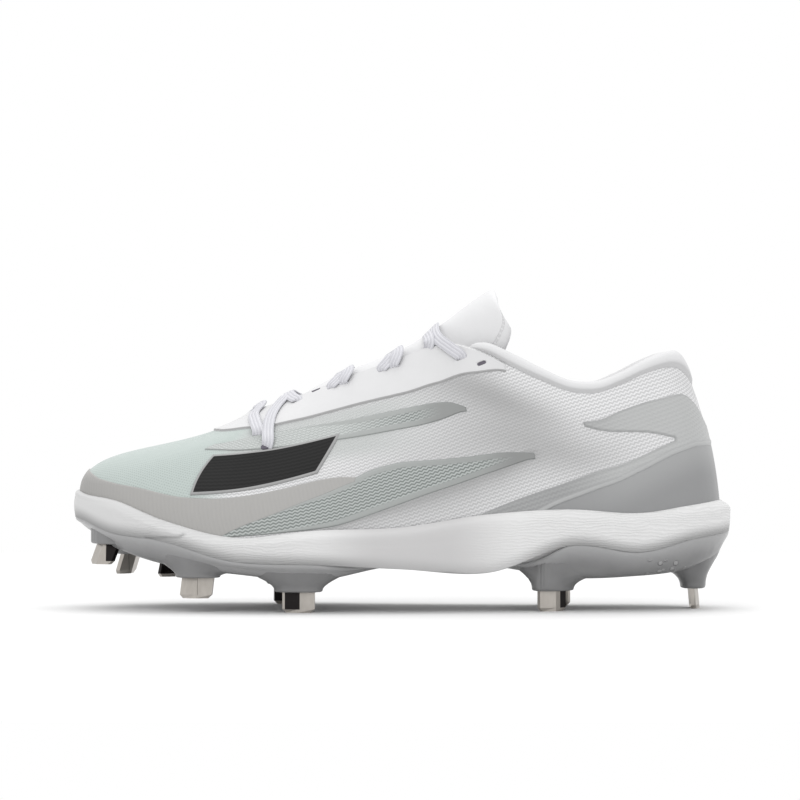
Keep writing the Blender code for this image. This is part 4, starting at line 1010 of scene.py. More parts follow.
def make_eyestay():
    """From the front of the throat back along both sides of it."""
    end = EYESTAY_EDGE[-1][0]
    a = np.linspace(-end - 0.006, end + 0.006, STAY_GRID[0])
    w = np.abs(a)
    low = edge_line(EYESTAY_EDGE, w)
    high = EYESTAY_TOP + 0.0 * a
    line = np.linspace(-end, end, 900)
    border = strip_border(line, edge_line(EYESTAY_EDGE, np.abs(line)), EYESTAY_TOP + 0.0 * line)
    grid = strip_grid(a, low, high, STAY_GRID[1], 0.06)
    inside = (grid[1] > low[:, None]) & (grid[1] < high[:, None]) & (w < end)[:, None]
    flat = cloth(grid[0].ravel(), grid[1].ravel(), 0.0 * grid[0].ravel())
    gaps = [distance(flat, there_and_back(slot)) for slot in slot_lines()]
    near = np.min(gaps, axis=0).reshape(grid[0].shape)
    sunk = -SLOT_SINK * (1 - smooth(SLOT_ROUND[0], SLOT_ROUND[1], near))
    hem_line = cloth(line, edge_line(EYESTAY_EDGE, np.abs(line)), 0.0 * line)
    hem = distance(flat, there_and_back(hem_line)).reshape(grid[0].shape)
    film(
        "eyestay_film", STAY, ["eyestay"], grid, border, inside,
        STAY_THICKNESS, {"slot": near, "hem": hem}, sunk,
    )


def make_rand():
    """Round the toe, and back along both sides to a point."""
    end = RAND_TOP[-1][0]
    a = np.linspace(-end - 0.004, end + 0.004, RAND_GRID[0])
    w = np.abs(a)

    def edges(places):
        """v of the band's low and high edge, never under the foam's rim."""
        cover = above_rim(places)
        low = np.maximum(edge_line(BAND_LOW, np.abs(places)), cover)
        return low, np.maximum(edge_line(RAND_TOP, np.abs(places)), low + 0.002)

    low, high = edges(a)
    line = np.linspace(-end, end, 1000)
    border = strip_border(line, *edges(line))
    grid = strip_grid(a, low, high, RAND_GRID[1])
    inside = (grid[1] > low[:, None]) & (grid[1] < high[:, None]) & (w < end)[:, None]
    rise = (grid[1] - low[:, None]) / (high - low)[:, None]
    pale = np.maximum(smooth(*PALE_W, w)[:, None], smooth(*PALE_RISE, rise))
    marks = {"pale": pale, "lined": (1 - smooth(*LINED_RISE, rise)) * smooth(*LINED_W, w)[:, None]}
    film("toe_rand_film", RAND, ["toe_rand"], grid, border, inside, RAND_THICKNESS, marks)


def make_counter():
    """A forked cup round the heel, with a raised line along it."""
    start, fork = COUNTER_ENDS
    finger = COUNTER_TOP[0][0]
    a = np.linspace(start - 0.01, 2.0 - start + 0.01, COUNTER_GRID[0])
    w = side_share(a)
    rise = np.linspace(0.0, 0.86, COUNTER_GRID[1])
    grid = np.repeat(a[:, None], len(rise), axis=1), np.repeat(rise[None, :], len(a), axis=0)
    low = above_rim(a)[:, None]
    notch_low = edge_line(COUNTER_NOTCH_LOW, w)[:, None]
    notch_high = edge_line(COUNTER_NOTCH_HIGH, w)[:, None]
    top = edge_line(COUNTER_TOP, w)[:, None]
    at, v = side_share(grid[0]), grid[1]
    tail = (v > low) & (v < notch_low) & (at > start)
    head = (v > notch_high) & (v < top) & (at > finger)
    back = (v > low) & (v < top) & (at > fork)
    near = np.linspace(start, fork, 300)
    tip = np.linspace(finger, fork, 160)
    over = np.linspace(finger, 1.0, 360)
    side = [
        (near, edge_line(COUNTER_NOTCH_LOW, near)),
        (tip[::-1], edge_line(COUNTER_NOTCH_HIGH, tip)[::-1]),
        (over, edge_line(COUNTER_TOP, over)),
    ]
    near_a = np.concatenate([part[0] for part in side])
    near_v = np.concatenate([part[1] for part in side])
    sole = np.linspace(start, 2.0 - start, 500)
    border = (
        np.concatenate([near_a, 2.0 - near_a[::-1], sole[::-1]]),
        np.concatenate([near_v, near_v[::-1], above_rim(sole)[::-1]]),
    )
    ridge_a = np.linspace(COUNTER_RIDGE[0][0], 2.0 - COUNTER_RIDGE[0][0], 900)
    ridge_v = edge_line(COUNTER_RIDGE, side_share(ridge_a))
    flat = cloth(grid[0].ravel(), grid[1].ravel(), 0.0 * grid[0].ravel())
    off = distance(flat, there_and_back(cloth(ridge_a, ridge_v, 0.0 * ridge_a))).reshape(at.shape)
    off = np.where(v > edge_line(COUNTER_RIDGE, at), off, -off)
    bead = BEAD_HEIGHT * np.exp(-((off / BEAD_HALF) ** 2))
    film(
        "heel_counter_film", COUNTER, ["heel_counter"], grid, border, tail | head | back,
        COUNTER_THICKNESS, {"ridge": off}, bead,
    )


make_eyestay()
make_rand()
make_counter()


# %% [markdown]
# Two fingers of film sweep back along each side, the low one from the sole and the high one under
# the eyestay, and a dark panel lies between them at the front. The same function makes both
# fingers from their tables. The panel has straight sides between four corners, so it needs none.

# %% Fingers and panels, one of each on either side
TIP_SOFT = 0.05  # w over which a finger turns plain at its tip
BORDER_FRONT = 0.3  # width of its plain border in front, and how much wider it gets over these w
BORDER_MORE = 2.3
BORDER_W = (0.34, 0.46)
DIM_W = (0.42, 0.62)  # w over which the border darkens, and over which the film stops being clear
CLEAR_W = (0.40, 0.52)


def both_sides(name, replaced, low_rows, high_rows, tip_from, clear):
    """A finger between two tables of (w, v) on each side, with a plain tip behind tip_from.

    clear is how much its front part shows the knit's own white, from 0 to 1.
    """
    start, end = low_rows[0][0], low_rows[-1][0]
    for side, turn in (("lateral", 1.0), ("medial", -1.0)):
        w = np.linspace(start - 0.004, end + 0.006, FINGER_GRID[0])
        line = np.linspace(start, end, 700)

        def edges(places):
            """v of the strip's low and high edge, never under the foam's rim."""
            cover = above_rim(turn * places)
            low = np.maximum(edge_line(low_rows, places), cover)
            return low, np.maximum(edge_line(high_rows, places), low + 0.002)

        low, high = edges(w)
        border_w, border_v = strip_border(line, *edges(line))
        grid_w, grid_v = strip_grid(w, low, high, FINGER_GRID[1])
        inside = (grid_v > low[:, None]) & (grid_v < high[:, None]) & (grid_w > start) & (grid_w < end)
        if turn < 0:
            grid_w, grid_v, inside = grid_w[::-1], grid_v[::-1], inside[::-1]
        marks = {
            "tip": smooth(tip_from, tip_from + TIP_SOFT, grid_w),
            "border": BORDER_FRONT + BORDER_MORE * smooth(*BORDER_W, grid_w),
            "dim": smooth(*DIM_W, grid_w),
            "clear": clear * (1 - smooth(*CLEAR_W, grid_w)),
        }
        grid = turn * grid_w, grid_v
        border = turn * border_w, border_v
        film(
            f"{name}_{side}", FINGERS, [f"{replaced}_{side}"], grid, border, inside,
            FINGER_THICKNESS, marks,
        )


both_sides("low_finger", "film_low", FILM_LOW_LOW, FILM_LOW_TOP, 0.575, 0.0)
both_sides("high_finger", "film_high", FILM_HIGH_LOW, FILM_HIGH_TOP, 0.500, 1.0)


def make_panel(side, turn):
    """A plain dark panel with four corners: straight lines between them on (w, v)."""
    front_low, back_low, front_high, back_high = (np.array(corner) for corner in PANEL_CORNERS)
    along = np.linspace(-0.03, 1.03, PANEL_GRID[0])
    p, q = np.meshgrid(along, np.linspace(-0.05, 1.05, PANEL_GRID[1]), indexing="ij")
    p, q = p[..., None], q[..., None]
    spots = (1 - q) * ((1 - p) * front_low + p * back_low) + q * ((1 - p) * front_high + p * back_high)
    inside = ((p > 0) & (p < 1) & (q > 0) & (q < 1))[..., 0]
    t = np.linspace(0.0, 1.0, 160)[:, None]
    legs = [(front_low, back_low), (back_low, back_high), (back_high, front_high), (front_high, front_low)]
    line = np.concatenate([first + (last - first) * t for first, last in legs])
    if turn < 0:
        spots, inside = spots[::-1], inside[::-1]
    film(
        f"dark_panel_{side}", PANEL, [f"side_panel_{side}"],
        (turn * spots[..., 0], spots[..., 1]), (turn * line[:, 0], line[:, 1]), inside,
        PANEL_THICKNESS,
    )


make_panel("lateral", 1.0)
make_panel("medial", -1.0)


# %% [markdown]
# ## The sole
# The midsole is moulded foam, and the plate under it moulded nylon, with a pod under each spike.
# Both could be sculpted, but the foam has to meet the upper, and the plate the foam, all the way
# round. So both are rings round the shoe, worked out from the same heights and joined to shells.

# %% Rings to a closed shell
def through_rings(rings, rows):
    """Rows between rings: at each a, a smooth curve through the rings' points."""
    rings = np.asarray(rings)
    steps = np.linalg.norm(np.diff(rings, axis=0), axis=-1).mean(axis=1)
    knots = np.concatenate([[0.0], np.cumsum(np.maximum(steps, 0.4))])
    knots /= knots[-1]
    flat = rings.reshape(len(rings), -1)
    places = np.linspace(0.0, 1.0, rows)
    columns = through(knots, flat, places)
    return columns.reshape(rows, *rings.shape[1:])


def shut(rings, cap_rows):
    """Adds rows that close both ends of a tube of rings towards the line between the two sides."""
    count = rings.shape[1]
    other = (-np.arange(count)) % count
    shares = np.linspace(0.0, 1.0, cap_rows + 1)[1:, None, None]
    first, last = rings[0], rings[-1]
    top = first + (0.5 * (first + first[other]) - first) * shares
    bottom = last + (0.5 * (last + last[other]) - last) * shares
    return np.concatenate([top[::-1], rings, bottom])


def ring_shell(name, rings, cap_rows, material, marks):
    """A closed shell from rings, top first, whose first and last cap_rows rings are folded shut.

    Where the two sides meet, at toe and heel, the cap's rows end in one point.
    """
    rows, count = rings.shape[:2]
    names = np.arange(rows * count).reshape(rows, count)
    other = np.minimum(np.arange(count), (-np.arange(count)) % count)
    names[0], names[-1] = names[0][other], names[-1][other]
    for end in (0, count // 2):
        names[:cap_rows, end] = names[cap_rows, end]
        names[-cap_rows:, end] = names[-cap_rows - 1, end]
    faces = names.ravel()[grid_faces(rows, count, wrap_columns=True)]
    repeats = faces == np.roll(faces, -1, axis=1)
    whole = faces[~repeats.any(axis=1)]
    threes = faces[repeats.sum(axis=1) == 1]
    keep = ~repeats[repeats.sum(axis=1) == 1]
    return piece(name, rings.reshape(-1, 3), [whole, threes[keep].reshape(-1, 3)], material, marks=marks)


# %% Finishes of the sole
FOAM_WHITE = grey(0.68)
FOAM_TOE = grey(0.56)
FOAM_TOE_X = (-135.0, 10.0)  # x over which the foam turns from its greyer toe to white
FOAM_SHADE = grey(0.42)
WRINKLE_PITCH = 1.35  # height from one wrinkle to the next, and how far noise swings them
WRINKLE_SWING = 5.0
FOAM_ARCH = (0.49, 0.485, 0.487, 1.0)
FOAM_GREY_AND_SHADE = grey(0.235)
PLATE_GREY = grey(0.150, cool=0.01)
PLATE_SOFT = grey(0.200, cool=0.01)
PLATE_LIGHT = grey(0.310, cool=0.01)
NUB_SPACING = 4.0
NUB_X = (119.0, 9.0, 2.0)  # middle, half width and soft edge of the patch of small nubs: along, up
NUB_Z = (19.5, 3.0, 1.0)


def paint_foam(tree):
    """White foam, wrinkled where it bends and lands, with painted shade in the wrinkles' troughs and
    grooves, and grey towards its lower edge, partly of itself and partly painted shade.
    """
    wrinkled = mark(tree, "wrinkle")
    long = grain(tree, 7.0, 3.0, (0.55, 0.55, 1.0))
    height = object_places(tree)[2]
    waves = (height + long * WRINKLE_SWING).wave(WRINKLE_PITCH)
    low = mark(tree, "low")
    white = object_places(tree)[0].step(*FOAM_TOE_X).blend(FOAM_TOE, FOAM_WHITE)
    colour = (mark(tree, "arch") * 0.9).blend(white, FOAM_ARCH)
    # The foam's own grey and painted shade, darker towards its lower edge.
    colour = low.blend(colour, FOAM_GREY_AND_SHADE)
    # Painted shade in the troughs of the wrinkles.
    colour = (wrinkled * (1.0 - waves) * 0.20).blend(colour, FOAM_SHADE)
    # Painted shade in the grooves.
    colour = (mark(tree, "groove") * 0.7).blend(colour, FOAM_GREY_AND_SHADE)
    fine = grain(tree, 0.8)
    return colour, 0.52, wrinkled * waves * 0.14 + fine * 0.02


def paint_plate(tree):
    """Satin grey nylon, paler at its lip, with soft swells, a fine grain and nubs under the heel."""
    swell = grain(tree, 9.0, 1.0)
    fine = grain(tree, 0.7)
    x, _, z = object_places(tree)
    spot = Field.node(tree, "ShaderNodeTexCoord", output="Object")
    inputs = {"Vector": spot, "Scale": 1 / (NUB_SPACING * MM)}
    cells = Field.node(tree, "ShaderNodeTexVoronoi", inputs=inputs)
    nubs = (1.0 - cells.step(0.22, 0.38)) * x.band(*NUB_X) * z.band(*NUB_Z)
    colour = mark(tree, "lip").blend(swell.blend(PLATE_GREY, PLATE_SOFT), PLATE_LIGHT)
    colour = (nubs * 0.4).blend(colour, FOAM_SHADE)
    return colour, 0.36, swell * 0.8 + fine * 0.015 + nubs * 0.7


FOAM = finish("foam", paint_foam)
PLATE = finish("moulded_plate", paint_plate, coat=0.15)

# %% [markdown]
# The foam has a raised rim that holds the upper, a side that bulges and turns under, and two
# shallow grooves. It is smooth and greyer at the arch, and finely wrinkled where the foot bends
# and where the heel lands. The grooves are dents in the rings, and the wrinkles are too fine for
# faces, so they are bump. Shade is painted into the grooves and the wrinkles' troughs, and towards
# the lower edge, where the foam also greys of itself.

# %% The midsole
SOLE_STEPS = 800
FOAM_CAP = 6  # rows of the footbed and of the underside, from their edges to the middle
PLATE_CAP = 12
FOAM_CLEAR = 0.45
RIM_EDGE = 1.6
RIM_DROP = 0.5
SIDE_TOP = 2.6
SOLE_GAP = 0.5
LIP_WIDTH = 2.2
SIDE_ROWS = 62
INSIDE_ROWS = 8
UNDER_ROWS = 22
# The grey towards the lower edge is partly the foam's own and partly painted shade.
LOW_GREY_AND_SHADE = (6.5, -0.5)  # heights over its lower edge between which the foam turns grey
ARCH_CLEAR = 0.55  # how much less grey it is there at the arch
BEND_W = (0.16, 0.24, 0.36, 0.46)  # w of the wrinkles at the bend, of those at the heel, and of the arch
HEEL_W = (0.55, 0.66)
ARCH_W = (0.40, 0.48, 0.54, 0.62)
GROOVE_DEPTH = 0.7
GROOVE_HALF = 0.6
# Grooves in the foam's side, as (w, height over the footbed)
SEAM_GROOVE = ((0.222, -2.0), (0.232, -1.2), (0.252, 0.9), (0.270, 2.6), (0.276, 4.4))
ARCH_GROOVE = (
    (0.462, -16.5), (0.468, -12.5), (0.480, -10.5), (0.505, -9.6), (0.545, -10.6), (0.585, -14.5),
)


def groove(a, z, rows):
    """Depth of a groove along a line of (w, height over the footbed), on both sides: a bell across it."""
    table_w, table_z = zip(*rows)
    w = np.linspace(table_w[0], table_w[-1], 120)
    high = np.interp(w, table_w, table_z) + footbed(w)
    run = np.interp(w, MAP_W, MAP_RUN)
    line = np.stack([run, high, 0 * run], axis=1)
    at = np.interp(side_share(a), MAP_W, MAP_RUN)
    spots = np.stack([at.ravel(), z.ravel(), 0 * z.ravel()], axis=1)
    off = distance(spots, there_and_back(line))
    return (GROOVE_DEPTH * np.exp(-((off / GROOVE_HALF) ** 2))).reshape(z.shape)


def make_foam():
    """Footbed, raised rim, bulging side, and the underside that nests in the plate."""
    a = np.linspace(0.0, 2.0, SOLE_STEPS, endpoint=False)
    rim = rim_height(a)
    rim_share = skin_share(a, rim)
    flat_out = np.concatenate([outward(a), np.zeros((len(a), 1))], axis=1)
    rim_in = on_skin(a, rim_share, FOAM_CLEAR + 0 * a)
    rim_out = rim_in + flat_out * RIM_EDGE
    rim_out[:, 2] -= RIM_DROP
    side_top = rim - SIDE_TOP
    edge = foam_edge(a)
    lip = plate_lip(a) + SOLE_GAP
    inside = [
        on_skin(a, 0.0 * a, FOAM_CLEAR + 0 * a) - [0, 0, GAP],
        on_skin(a, rim_share * 0.5, FOAM_CLEAR + 0 * a),
        rim_in,
    ]
    side = [
        rim_in,
        0.5 * (rim_in + rim_out) + [0, 0, 0.22],
        rim_out,
        inset_ring(a, 0.5, side_top),
        inset_ring(a, 0.0, side_top + 0.35 * (edge - side_top)),
        inset_ring(a, 0.2, side_top + 0.70 * (edge - side_top)),
        inset_ring(a, 0.6, edge + 0.5 * GAP),
    ]
    under = [
        side[-1],
        inset_ring(a, plate_inset(a) - GAP, lip),
        inset_ring(a, plate_inset(a) + LIP_WIDTH + GAP, lip),
        inset_ring(a, plate_inset(a) + TRAY_INSET + GAP, plate_floor(a) + PLATE_THICKNESS + SOLE_GAP),
    ]
    side_rows = through_rings(side, SIDE_ROWS)
    across = np.repeat(a[None, :], len(side_rows), axis=0)
    dents = groove(across, side_rows[..., 2], SEAM_GROOVE) + groove(across, side_rows[..., 2], ARCH_GROOVE)
    side_rows[..., :2] -= outward(across) * dents[..., None]
    inside_rows = through_rings(inside, INSIDE_ROWS)[:-1]
    under_rows = through_rings(under, UNDER_ROWS)[1:]
    rings = np.concatenate([inside_rows, side_rows, under_rows])
    dents = np.pad(dents, ((len(inside_rows) + FOAM_CAP, len(under_rows) + FOAM_CAP), (0, 0)))
    rings = shut(rings, FOAM_CAP)
    w = side_share(a)[None, :]
    # The foam's own grey and painted shade towards its lower edge.
    low = smooth(*LOW_GREY_AND_SHADE, rings[..., 2] - edge[None, :]) * (1 - ARCH_CLEAR * waist(a))[None, :]
    bend = between(BEND_W, w)
    heel = smooth(*HEEL_W, w)
    arch = between(ARCH_W, w)
    marks = {
        "low": low,
        "groove": dents,
        "arch": np.broadcast_to(arch, rings.shape[:2]),
        "wrinkle": np.broadcast_to(np.maximum(bend, heel), rings.shape[:2]),
    }
    made = ring_shell("midsole_foam", rings, FOAM_CAP, FOAM, marks)
    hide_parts("midsole")
    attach(made, "root")


make_foam()

# %% [markdown]
# The plate is a tray that cups the foam, and is drawn in under the arch. Its side stands flush with
# the foam, so the two read as one moulding with a soft change of colour, as on the real shoe. Above
# the plate, the foam's grey is partly painted shade.

# %% The plate
# Its side: places from the lip inward as shares of TRAY_INSET, and the climb left there to the lip
PLATE_SHARES = (0.0, 0.18, 0.45, 0.80)
PLATE_CLIMB = (1.0, 0.50, 0.14, 0.0)
FLUSH = 0.8  # how much farther out its side stands here, to meet the foam's side
LIP_PALE = 10.0  # height of the pale band under its lip
TRAY_ROWS = 6
SHELL_ROWS = 34


def make_plate():
    """A tray: its inner floor, its lip, and its outside down to the underside."""
    a = np.linspace(0.0, 2.0, SOLE_STEPS, endpoint=False)
    floor = plate_floor(a)
    lip = plate_lip(a)
    edge = plate_inset(a)
    inner = [
        inset_ring(a, edge + TRAY_INSET, floor + PLATE_THICKNESS),
        inset_ring(a, edge + LIP_WIDTH, lip),
    ]
    flush = FLUSH * (1 - waist(a))
    outer = [inset_ring(a, edge + 0.1 - flush, lip + 0.45), inset_ring(a, edge - flush, lip - 0.1)]
    for share, climb in zip(PLATE_SHARES[1:], PLATE_CLIMB[1:]):
        outer.append(inset_ring(a, edge + share * TRAY_INSET, floor + climb * (lip - floor)))
    rings = np.concatenate([through_rings(inner, TRAY_ROWS), through_rings(outer, SHELL_ROWS)])
    rings = shut(rings, PLATE_CAP)
    marks = {"lip": smooth(-LIP_PALE, 0.0, rings[..., 2] - lip)}
    made = ring_shell("moulded_plate", rings, PLATE_CAP, PLATE, marks)
    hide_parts("outsole_plate")
    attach(made, "root")


make_plate()

# %% [markdown]
# Each spike stands in a pod, a foot of the plate's nylon: narrow round the blade, and wide where it
# meets the plate. Boolean joins would leave creases all round. So a pod is a stack of rings whose
# top follows the plate's underside and goes just into it, and it flares out like a fillet.

# %% Places of the spikes
SPIKE_COLUMNS = ("name", "along", "across", "tip", "lean_x", "lean_y", "turn", "pod_base", "pod_end")
SPIKE_ROWS = (
    ("spike_toe_lateral", 0.048, -0.763, 0.98, -0.36, -0.1, -46.0, 0.72, 0.58),
    ("spike_toe_medial", 0.074, 0.51, 0.7, -0.3, 0.12, 62.0, 0.72, 0.58),
    ("spike_forefoot_lateral", 0.193, -0.759, 0.295, -0.12, -0.12, -8.0, 0.95, 0.6),
    ("spike_forefoot_medial", 0.142, 0.767, 0.6, -0.2, 0.15, 40.0, 0.85, 0.58),
    ("spike_ball_lateral", 0.347, -0.735, 0.0, 0.0, -0.06, -6.0, 1.15, 0.66),
    ("spike_ball_medial", 0.326, 0.718, 0.0, 0.0, 0.06, 12.0, 1.05, 0.66),
    ("spike_heel_lateral", 0.725, -0.629, 0.0, 0.0, -0.05, 35.0, 0.9, 0.62),
    ("spike_heel_medial", 0.738, 0.681, 0.0, 0.0, 0.05, -35.0, 0.8, 0.6),
    ("spike_heel_back", 0.943, -0.002, 0.0, 0.09, 0.0, 90.0, 0.8, 0.56),
)
SPIKE_BEND = 2.2
POD_WALL = 1.2
POD_MARGIN = 1.0  # least distance from a pod's foot to the plate's edge, and from its end
END_MARGIN = 0.4
FOOT_EXTRA = 3.0  # extra half width of a pod where it meets the plate
FOOT_OVAL = 0.90  # depth of a pod's foot, and of its end, as a share of the width
END_OVAL = 0.62
POD_SKIN = 0.5  # least height of a pod under the plate
POD_SQUARE = 0.8  # power of the sine and cosine: 1 is an ellipse, less is squarer
POD_STEPS = 72
POD_ROWS = 26


def inside_edge(spots):
    """The nearest a to each spot, and how far inside the outline it lies there."""
    a = np.linspace(0.0, 2.0, 720, endpoint=False)
    edge = outline(a)
    nearest = np.argmin(np.linalg.norm(spots[..., None, :2] - edge, axis=-1), axis=-1)
    a = a[nearest]
    return a, ((edge[nearest] - spots[..., :2]) * outward(a)).sum(axis=-1)


def under_plate(spots):
    """Height of the plate's underside at each spot: near the edge it climbs to the lip."""
    a, depth = inside_edge(spots)
    share = np.clip((depth - plate_inset(a)) / TRAY_INSET, 0.0, None)
    rows = np.linspace(0.0, 1.0, 321)
    bounds = []
    for rows_a in (rows, 2.0 - rows):
        ring = inset_ring(rows_a, plate_inset(rows_a) + TRAY_INSET, plate_floor(rows_a))
        bounds.append([np.interp(spots[..., 0], ring[:, 0], ring[:, k]) for k in (1, 2)])
    (near_y, near_z), (far_y, far_z) = bounds
    across = np.clip((spots[..., 1] - near_y) / np.maximum(far_y - near_y, GAP), 0.0, 1.0)
    floor = np.where(share > 1.0, near_z + across * (far_z - near_z), plate_floor(a))
    return floor + (plate_lip(a) - floor) * np.interp(share, PLATE_SHARES, PLATE_CLIMB)


def kept_inside(middle, offsets, margin):
    """Offsets from a middle, each shortened until it ends at least margin inside the plate's edge."""
    shares = np.linspace(0.0, 1.0, 61)
    a, depth = inside_edge(middle + shares[:, None, None] * offsets)
    inside = np.cumprod(depth >= plate_inset(a) + margin, axis=0).sum(axis=0) - 1
    limit = np.maximum(shares[np.maximum(inside, 0)], 0.2)
    spread = np.stack([np.roll(limit, shift) for shift in range(-3, 4)])
    return offsets * np.minimum(limit, spread.mean(axis=0))[:, None]


def make_pods():
    """A foot of nylon round each spike: rings from its rounded end that flare into the plate."""
    points = []
    walls = []
    fans = []
    tops = []
    for row in SPIKE_ROWS:
        spike = dict(zip(SPIKE_COLUMNS, row))
        w = math.acos(1.0 - 2.0 * spike["along"]) / math.pi
        lateral, medial = outline(np.array([w, 2.0 - w]))
        x, y = 0.5 * (lateral + medial + spike["across"] * (medial - lateral))
        turn = math.radians(spike["turn"])
        width = np.array([math.cos(turn), math.sin(turn), 0.0])
        depth = np.array([math.sin(turn), -math.cos(turn), 0.0])
        lean = np.array([spike["lean_x"], spike["lean_y"], 0.0])
        tip = spike["tip"] * TOE_SPRING
        middle = np.array([x, y, 0.0]) - lean * SPIKE_LENGTH + depth * 0.4 * SPIKE_BEND
        turns = np.linspace(0, 2 * math.pi, POD_STEPS, endpoint=False)[:, None]
        round_x = np.sign(np.cos(turns)) * np.abs(np.cos(turns)) ** POD_SQUARE
        round_y = np.sign(np.sin(turns)) * np.abs(np.sin(turns)) ** POD_SQUARE
        end_half = spike["pod_end"] * SPIKE_WIDTH + POD_WALL
        foot_half = spike["pod_base"] * SPIKE_WIDTH + FOOT_EXTRA
        end = kept_inside(middle, end_half * (round_x * width - END_OVAL * round_y * depth), END_MARGIN)
        foot = kept_inside(middle, foot_half * (round_x * width - FOOT_OVAL * round_y * depth), POD_MARGIN)
        reach_end, reach_foot = (np.linalg.norm(part, axis=1, keepdims=True) for part in (end, foot))
        foot = np.where(reach_foot < reach_end, end, foot)
        root = tip + SPIKE_LENGTH
        rings = []
        for t in np.linspace(0.0, 1.0, POD_ROWS):
            rounded = min(t / 0.16, 1.0)
            shrink = 0.80 + 0.20 * math.sqrt(1.0 - (1.0 - rounded) ** 2)
            flare = max((t - 0.10) / 0.90, 0.0) ** 2.4
            ring = middle + (end * shrink) * (1 - flare) + foot * flare
            ceiling = under_plate(ring)
            bottom = np.minimum(root, ceiling - POD_SKIN)
            ring[:, 2] = bottom + (ceiling + 0.5 - bottom) * t**1.15
            rings.append(ring)
        tail = rings[0]
        hub = tail.mean(axis=0)
        caps = [hub + (tail - hub) * share for share in (0.12, 0.5, 0.8)]
        rings = np.array(caps + rings)
        base = sum(len(part) for part in points)
        points += [rings.reshape(-1, 3), hub[None]]
        walls.append(grid_faces(len(rings), POD_STEPS, wrap_columns=True) + base)
        around = np.arange(POD_STEPS) + base
        after = np.roll(around, -1)
        centre = np.full(POD_STEPS, base + len(rings) * POD_STEPS)
        fans.append(np.stack([around, after, centre], axis=1))
        tops.append(around + (len(rings) - 1) * POD_STEPS)
    faces = [np.concatenate(walls), np.concatenate(fans), np.array(tops)]
    made = piece("plate_pods", np.concatenate(points), faces, PLATE)
    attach(made, "root")


make_pods()

# %% [markdown]
# ## Steel spikes
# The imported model's bent blades have the right shape, and new ones would only repeat them. So they
# stay, and get softened edges and tumbled steel. Steel shows the room it stands in, so streaks in
# its colour and roughness carry the finish.


# %% Steel
STEEL_LOW = (0.36, 0.335, 0.305, 1.0)
STEEL_HIGH = (0.52, 0.49, 0.455, 1.0)
STEEL_BLACK_AND_SHADE = (0.022, 0.020, 0.020, 1.0)
# Shares of a blade's width, toe to heel, between which it is black, down to a bright rim. The two
# inner blades are black all across: painted shade, as they stand in the shoe's shadow.
BLACK_AND_SHADE_SHARES = {
    "spike_toe_lateral": (0.52, 1.10),
    "spike_ball_lateral": (0.08, 0.53),
    "spike_heel_lateral": (0.80, 1.10),
    "spike_forefoot_medial": (-0.10, 1.10),
    "spike_ball_medial": (-0.10, 1.10),
}
BRIGHT_RIM = 1.3
BLADE_ROUND = 0.35  # width of the softened edges


def paint_blade(low, high, share, bottom):
    """A paint for a blade from x = low to high: warm tumbled steel, black between two shares, painted shade
    on the inner blades.
    """
    def paint(tree):
        """Streaked steel, and its black stretch, which is painted shade on the inner blades."""
        streak = grain(tree, 2.5, 3.0, (1.0, 1.0, 0.35))
        x, _, z = object_places(tree)
        middle = low + (high - low) * 0.5 * (share[0] + share[1])
        half = (high - low) * 0.5 * (share[1] - share[0])
        # Black between the shares; on the two inner blades this is painted shade.
        black_and_shade = x.band(middle, half, 0.15) * z.step(bottom + BRIGHT_RIM, bottom + BRIGHT_RIM + 0.3)
        colour = black_and_shade.blend(streak.blend(STEEL_LOW, STEEL_HIGH), STEEL_BLACK_AND_SHADE)
        return colour, streak * 0.16 + 0.26, streak * 0.05
    return paint


for name in [row[0] for row in SPIKE_ROWS]:
    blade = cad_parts[name]
    corners = np.array([list(blade.matrix_world @ vertex.co) for vertex in blade.data.vertices]) / MM
    low, high = corners.min(axis=0), corners.max(axis=0)
    share = BLACK_AND_SHADE_SHARES.get(name, (0.5, 0.5))
    steel = finish(f"steel_{name}", paint_blade(low[0], high[0], share, low[2]), metallic=1.0)
    blade.data.materials.clear()
    blade.data.materials.append(steel)
    rounded = blade.modifiers.new("rounded_edges", "BEVEL")
    rounded.width = BLADE_ROUND * MM
    rounded.segments = 2
    rounded.limit_method = "ANGLE"
print("spikes:", len(SPIKE_ROWS))


# %% [markdown]
# ## Collar, tongue and inside
# The collar and the tongue are foam in smooth cloth. A cloth simulation could blow them up, but
# they are firm and thin, and have to follow the upper's edge closely. So both are full rounded
# solids from their own sections, marked as padded, and the sock liner is a plain low shell.

# %% Finishes of the soft parts
PAD_WHITE = grey(0.62, cool=0.01)
PAD_SOFT = grey(0.58, cool=0.01)
PAD_SHADE = grey(0.40, cool=0.01)
TONGUE_WHITE = grey(0.66, cool=0.01)
LINER_DARK = grey(0.42)
LINER_PALE = grey(0.55)


def paint_pad(tree):
    """Smooth white cloth outside, a painted shadow along its seam under the roll, and a fine mesh lining
    inside.
    """
    inner = mark(tree, "inner")
    spot = grain(tree, 0.9, 1.0)
    soft = grain(tree, 12.0)
    colour = (inner * (0.35 + spot * 0.4)).blend(soft.blend(PAD_WHITE, PAD_SOFT), PAD_SHADE)
    # Painted shadow along the seam, where the roll meets the knit.
    colour = (mark(tree, "seam_shadow") * 0.6).blend(colour, PAD_SHADE)
    return colour, 0.68, spot * 0.06 + soft * 0.25


def paint_tongue(tree):
    """Smooth white, with a stitched line inside the edge and soft quilted swells."""
    rim = mark(tree, "rim")
    along = mark(tree, "along")
    line = rim.band(3.0, 0.25, 0.3)
    stitch = line * along.wave(2.2).step(0.1, 0.4)
    colour = (stitch * 0.35).blend(TONGUE_WHITE, PAD_SHADE)
    soft = grain(tree, 10.0)
    return colour, 0.58, line * -0.22 + soft * 0.3 + grain(tree, 0.5) * 0.02


def paint_lining(tree):
    """Light grey sock liner cloth."""
    threads = grain(tree, 0.8)
    return threads.blend(LINER_DARK, LINER_PALE), 0.85, threads * 0.10


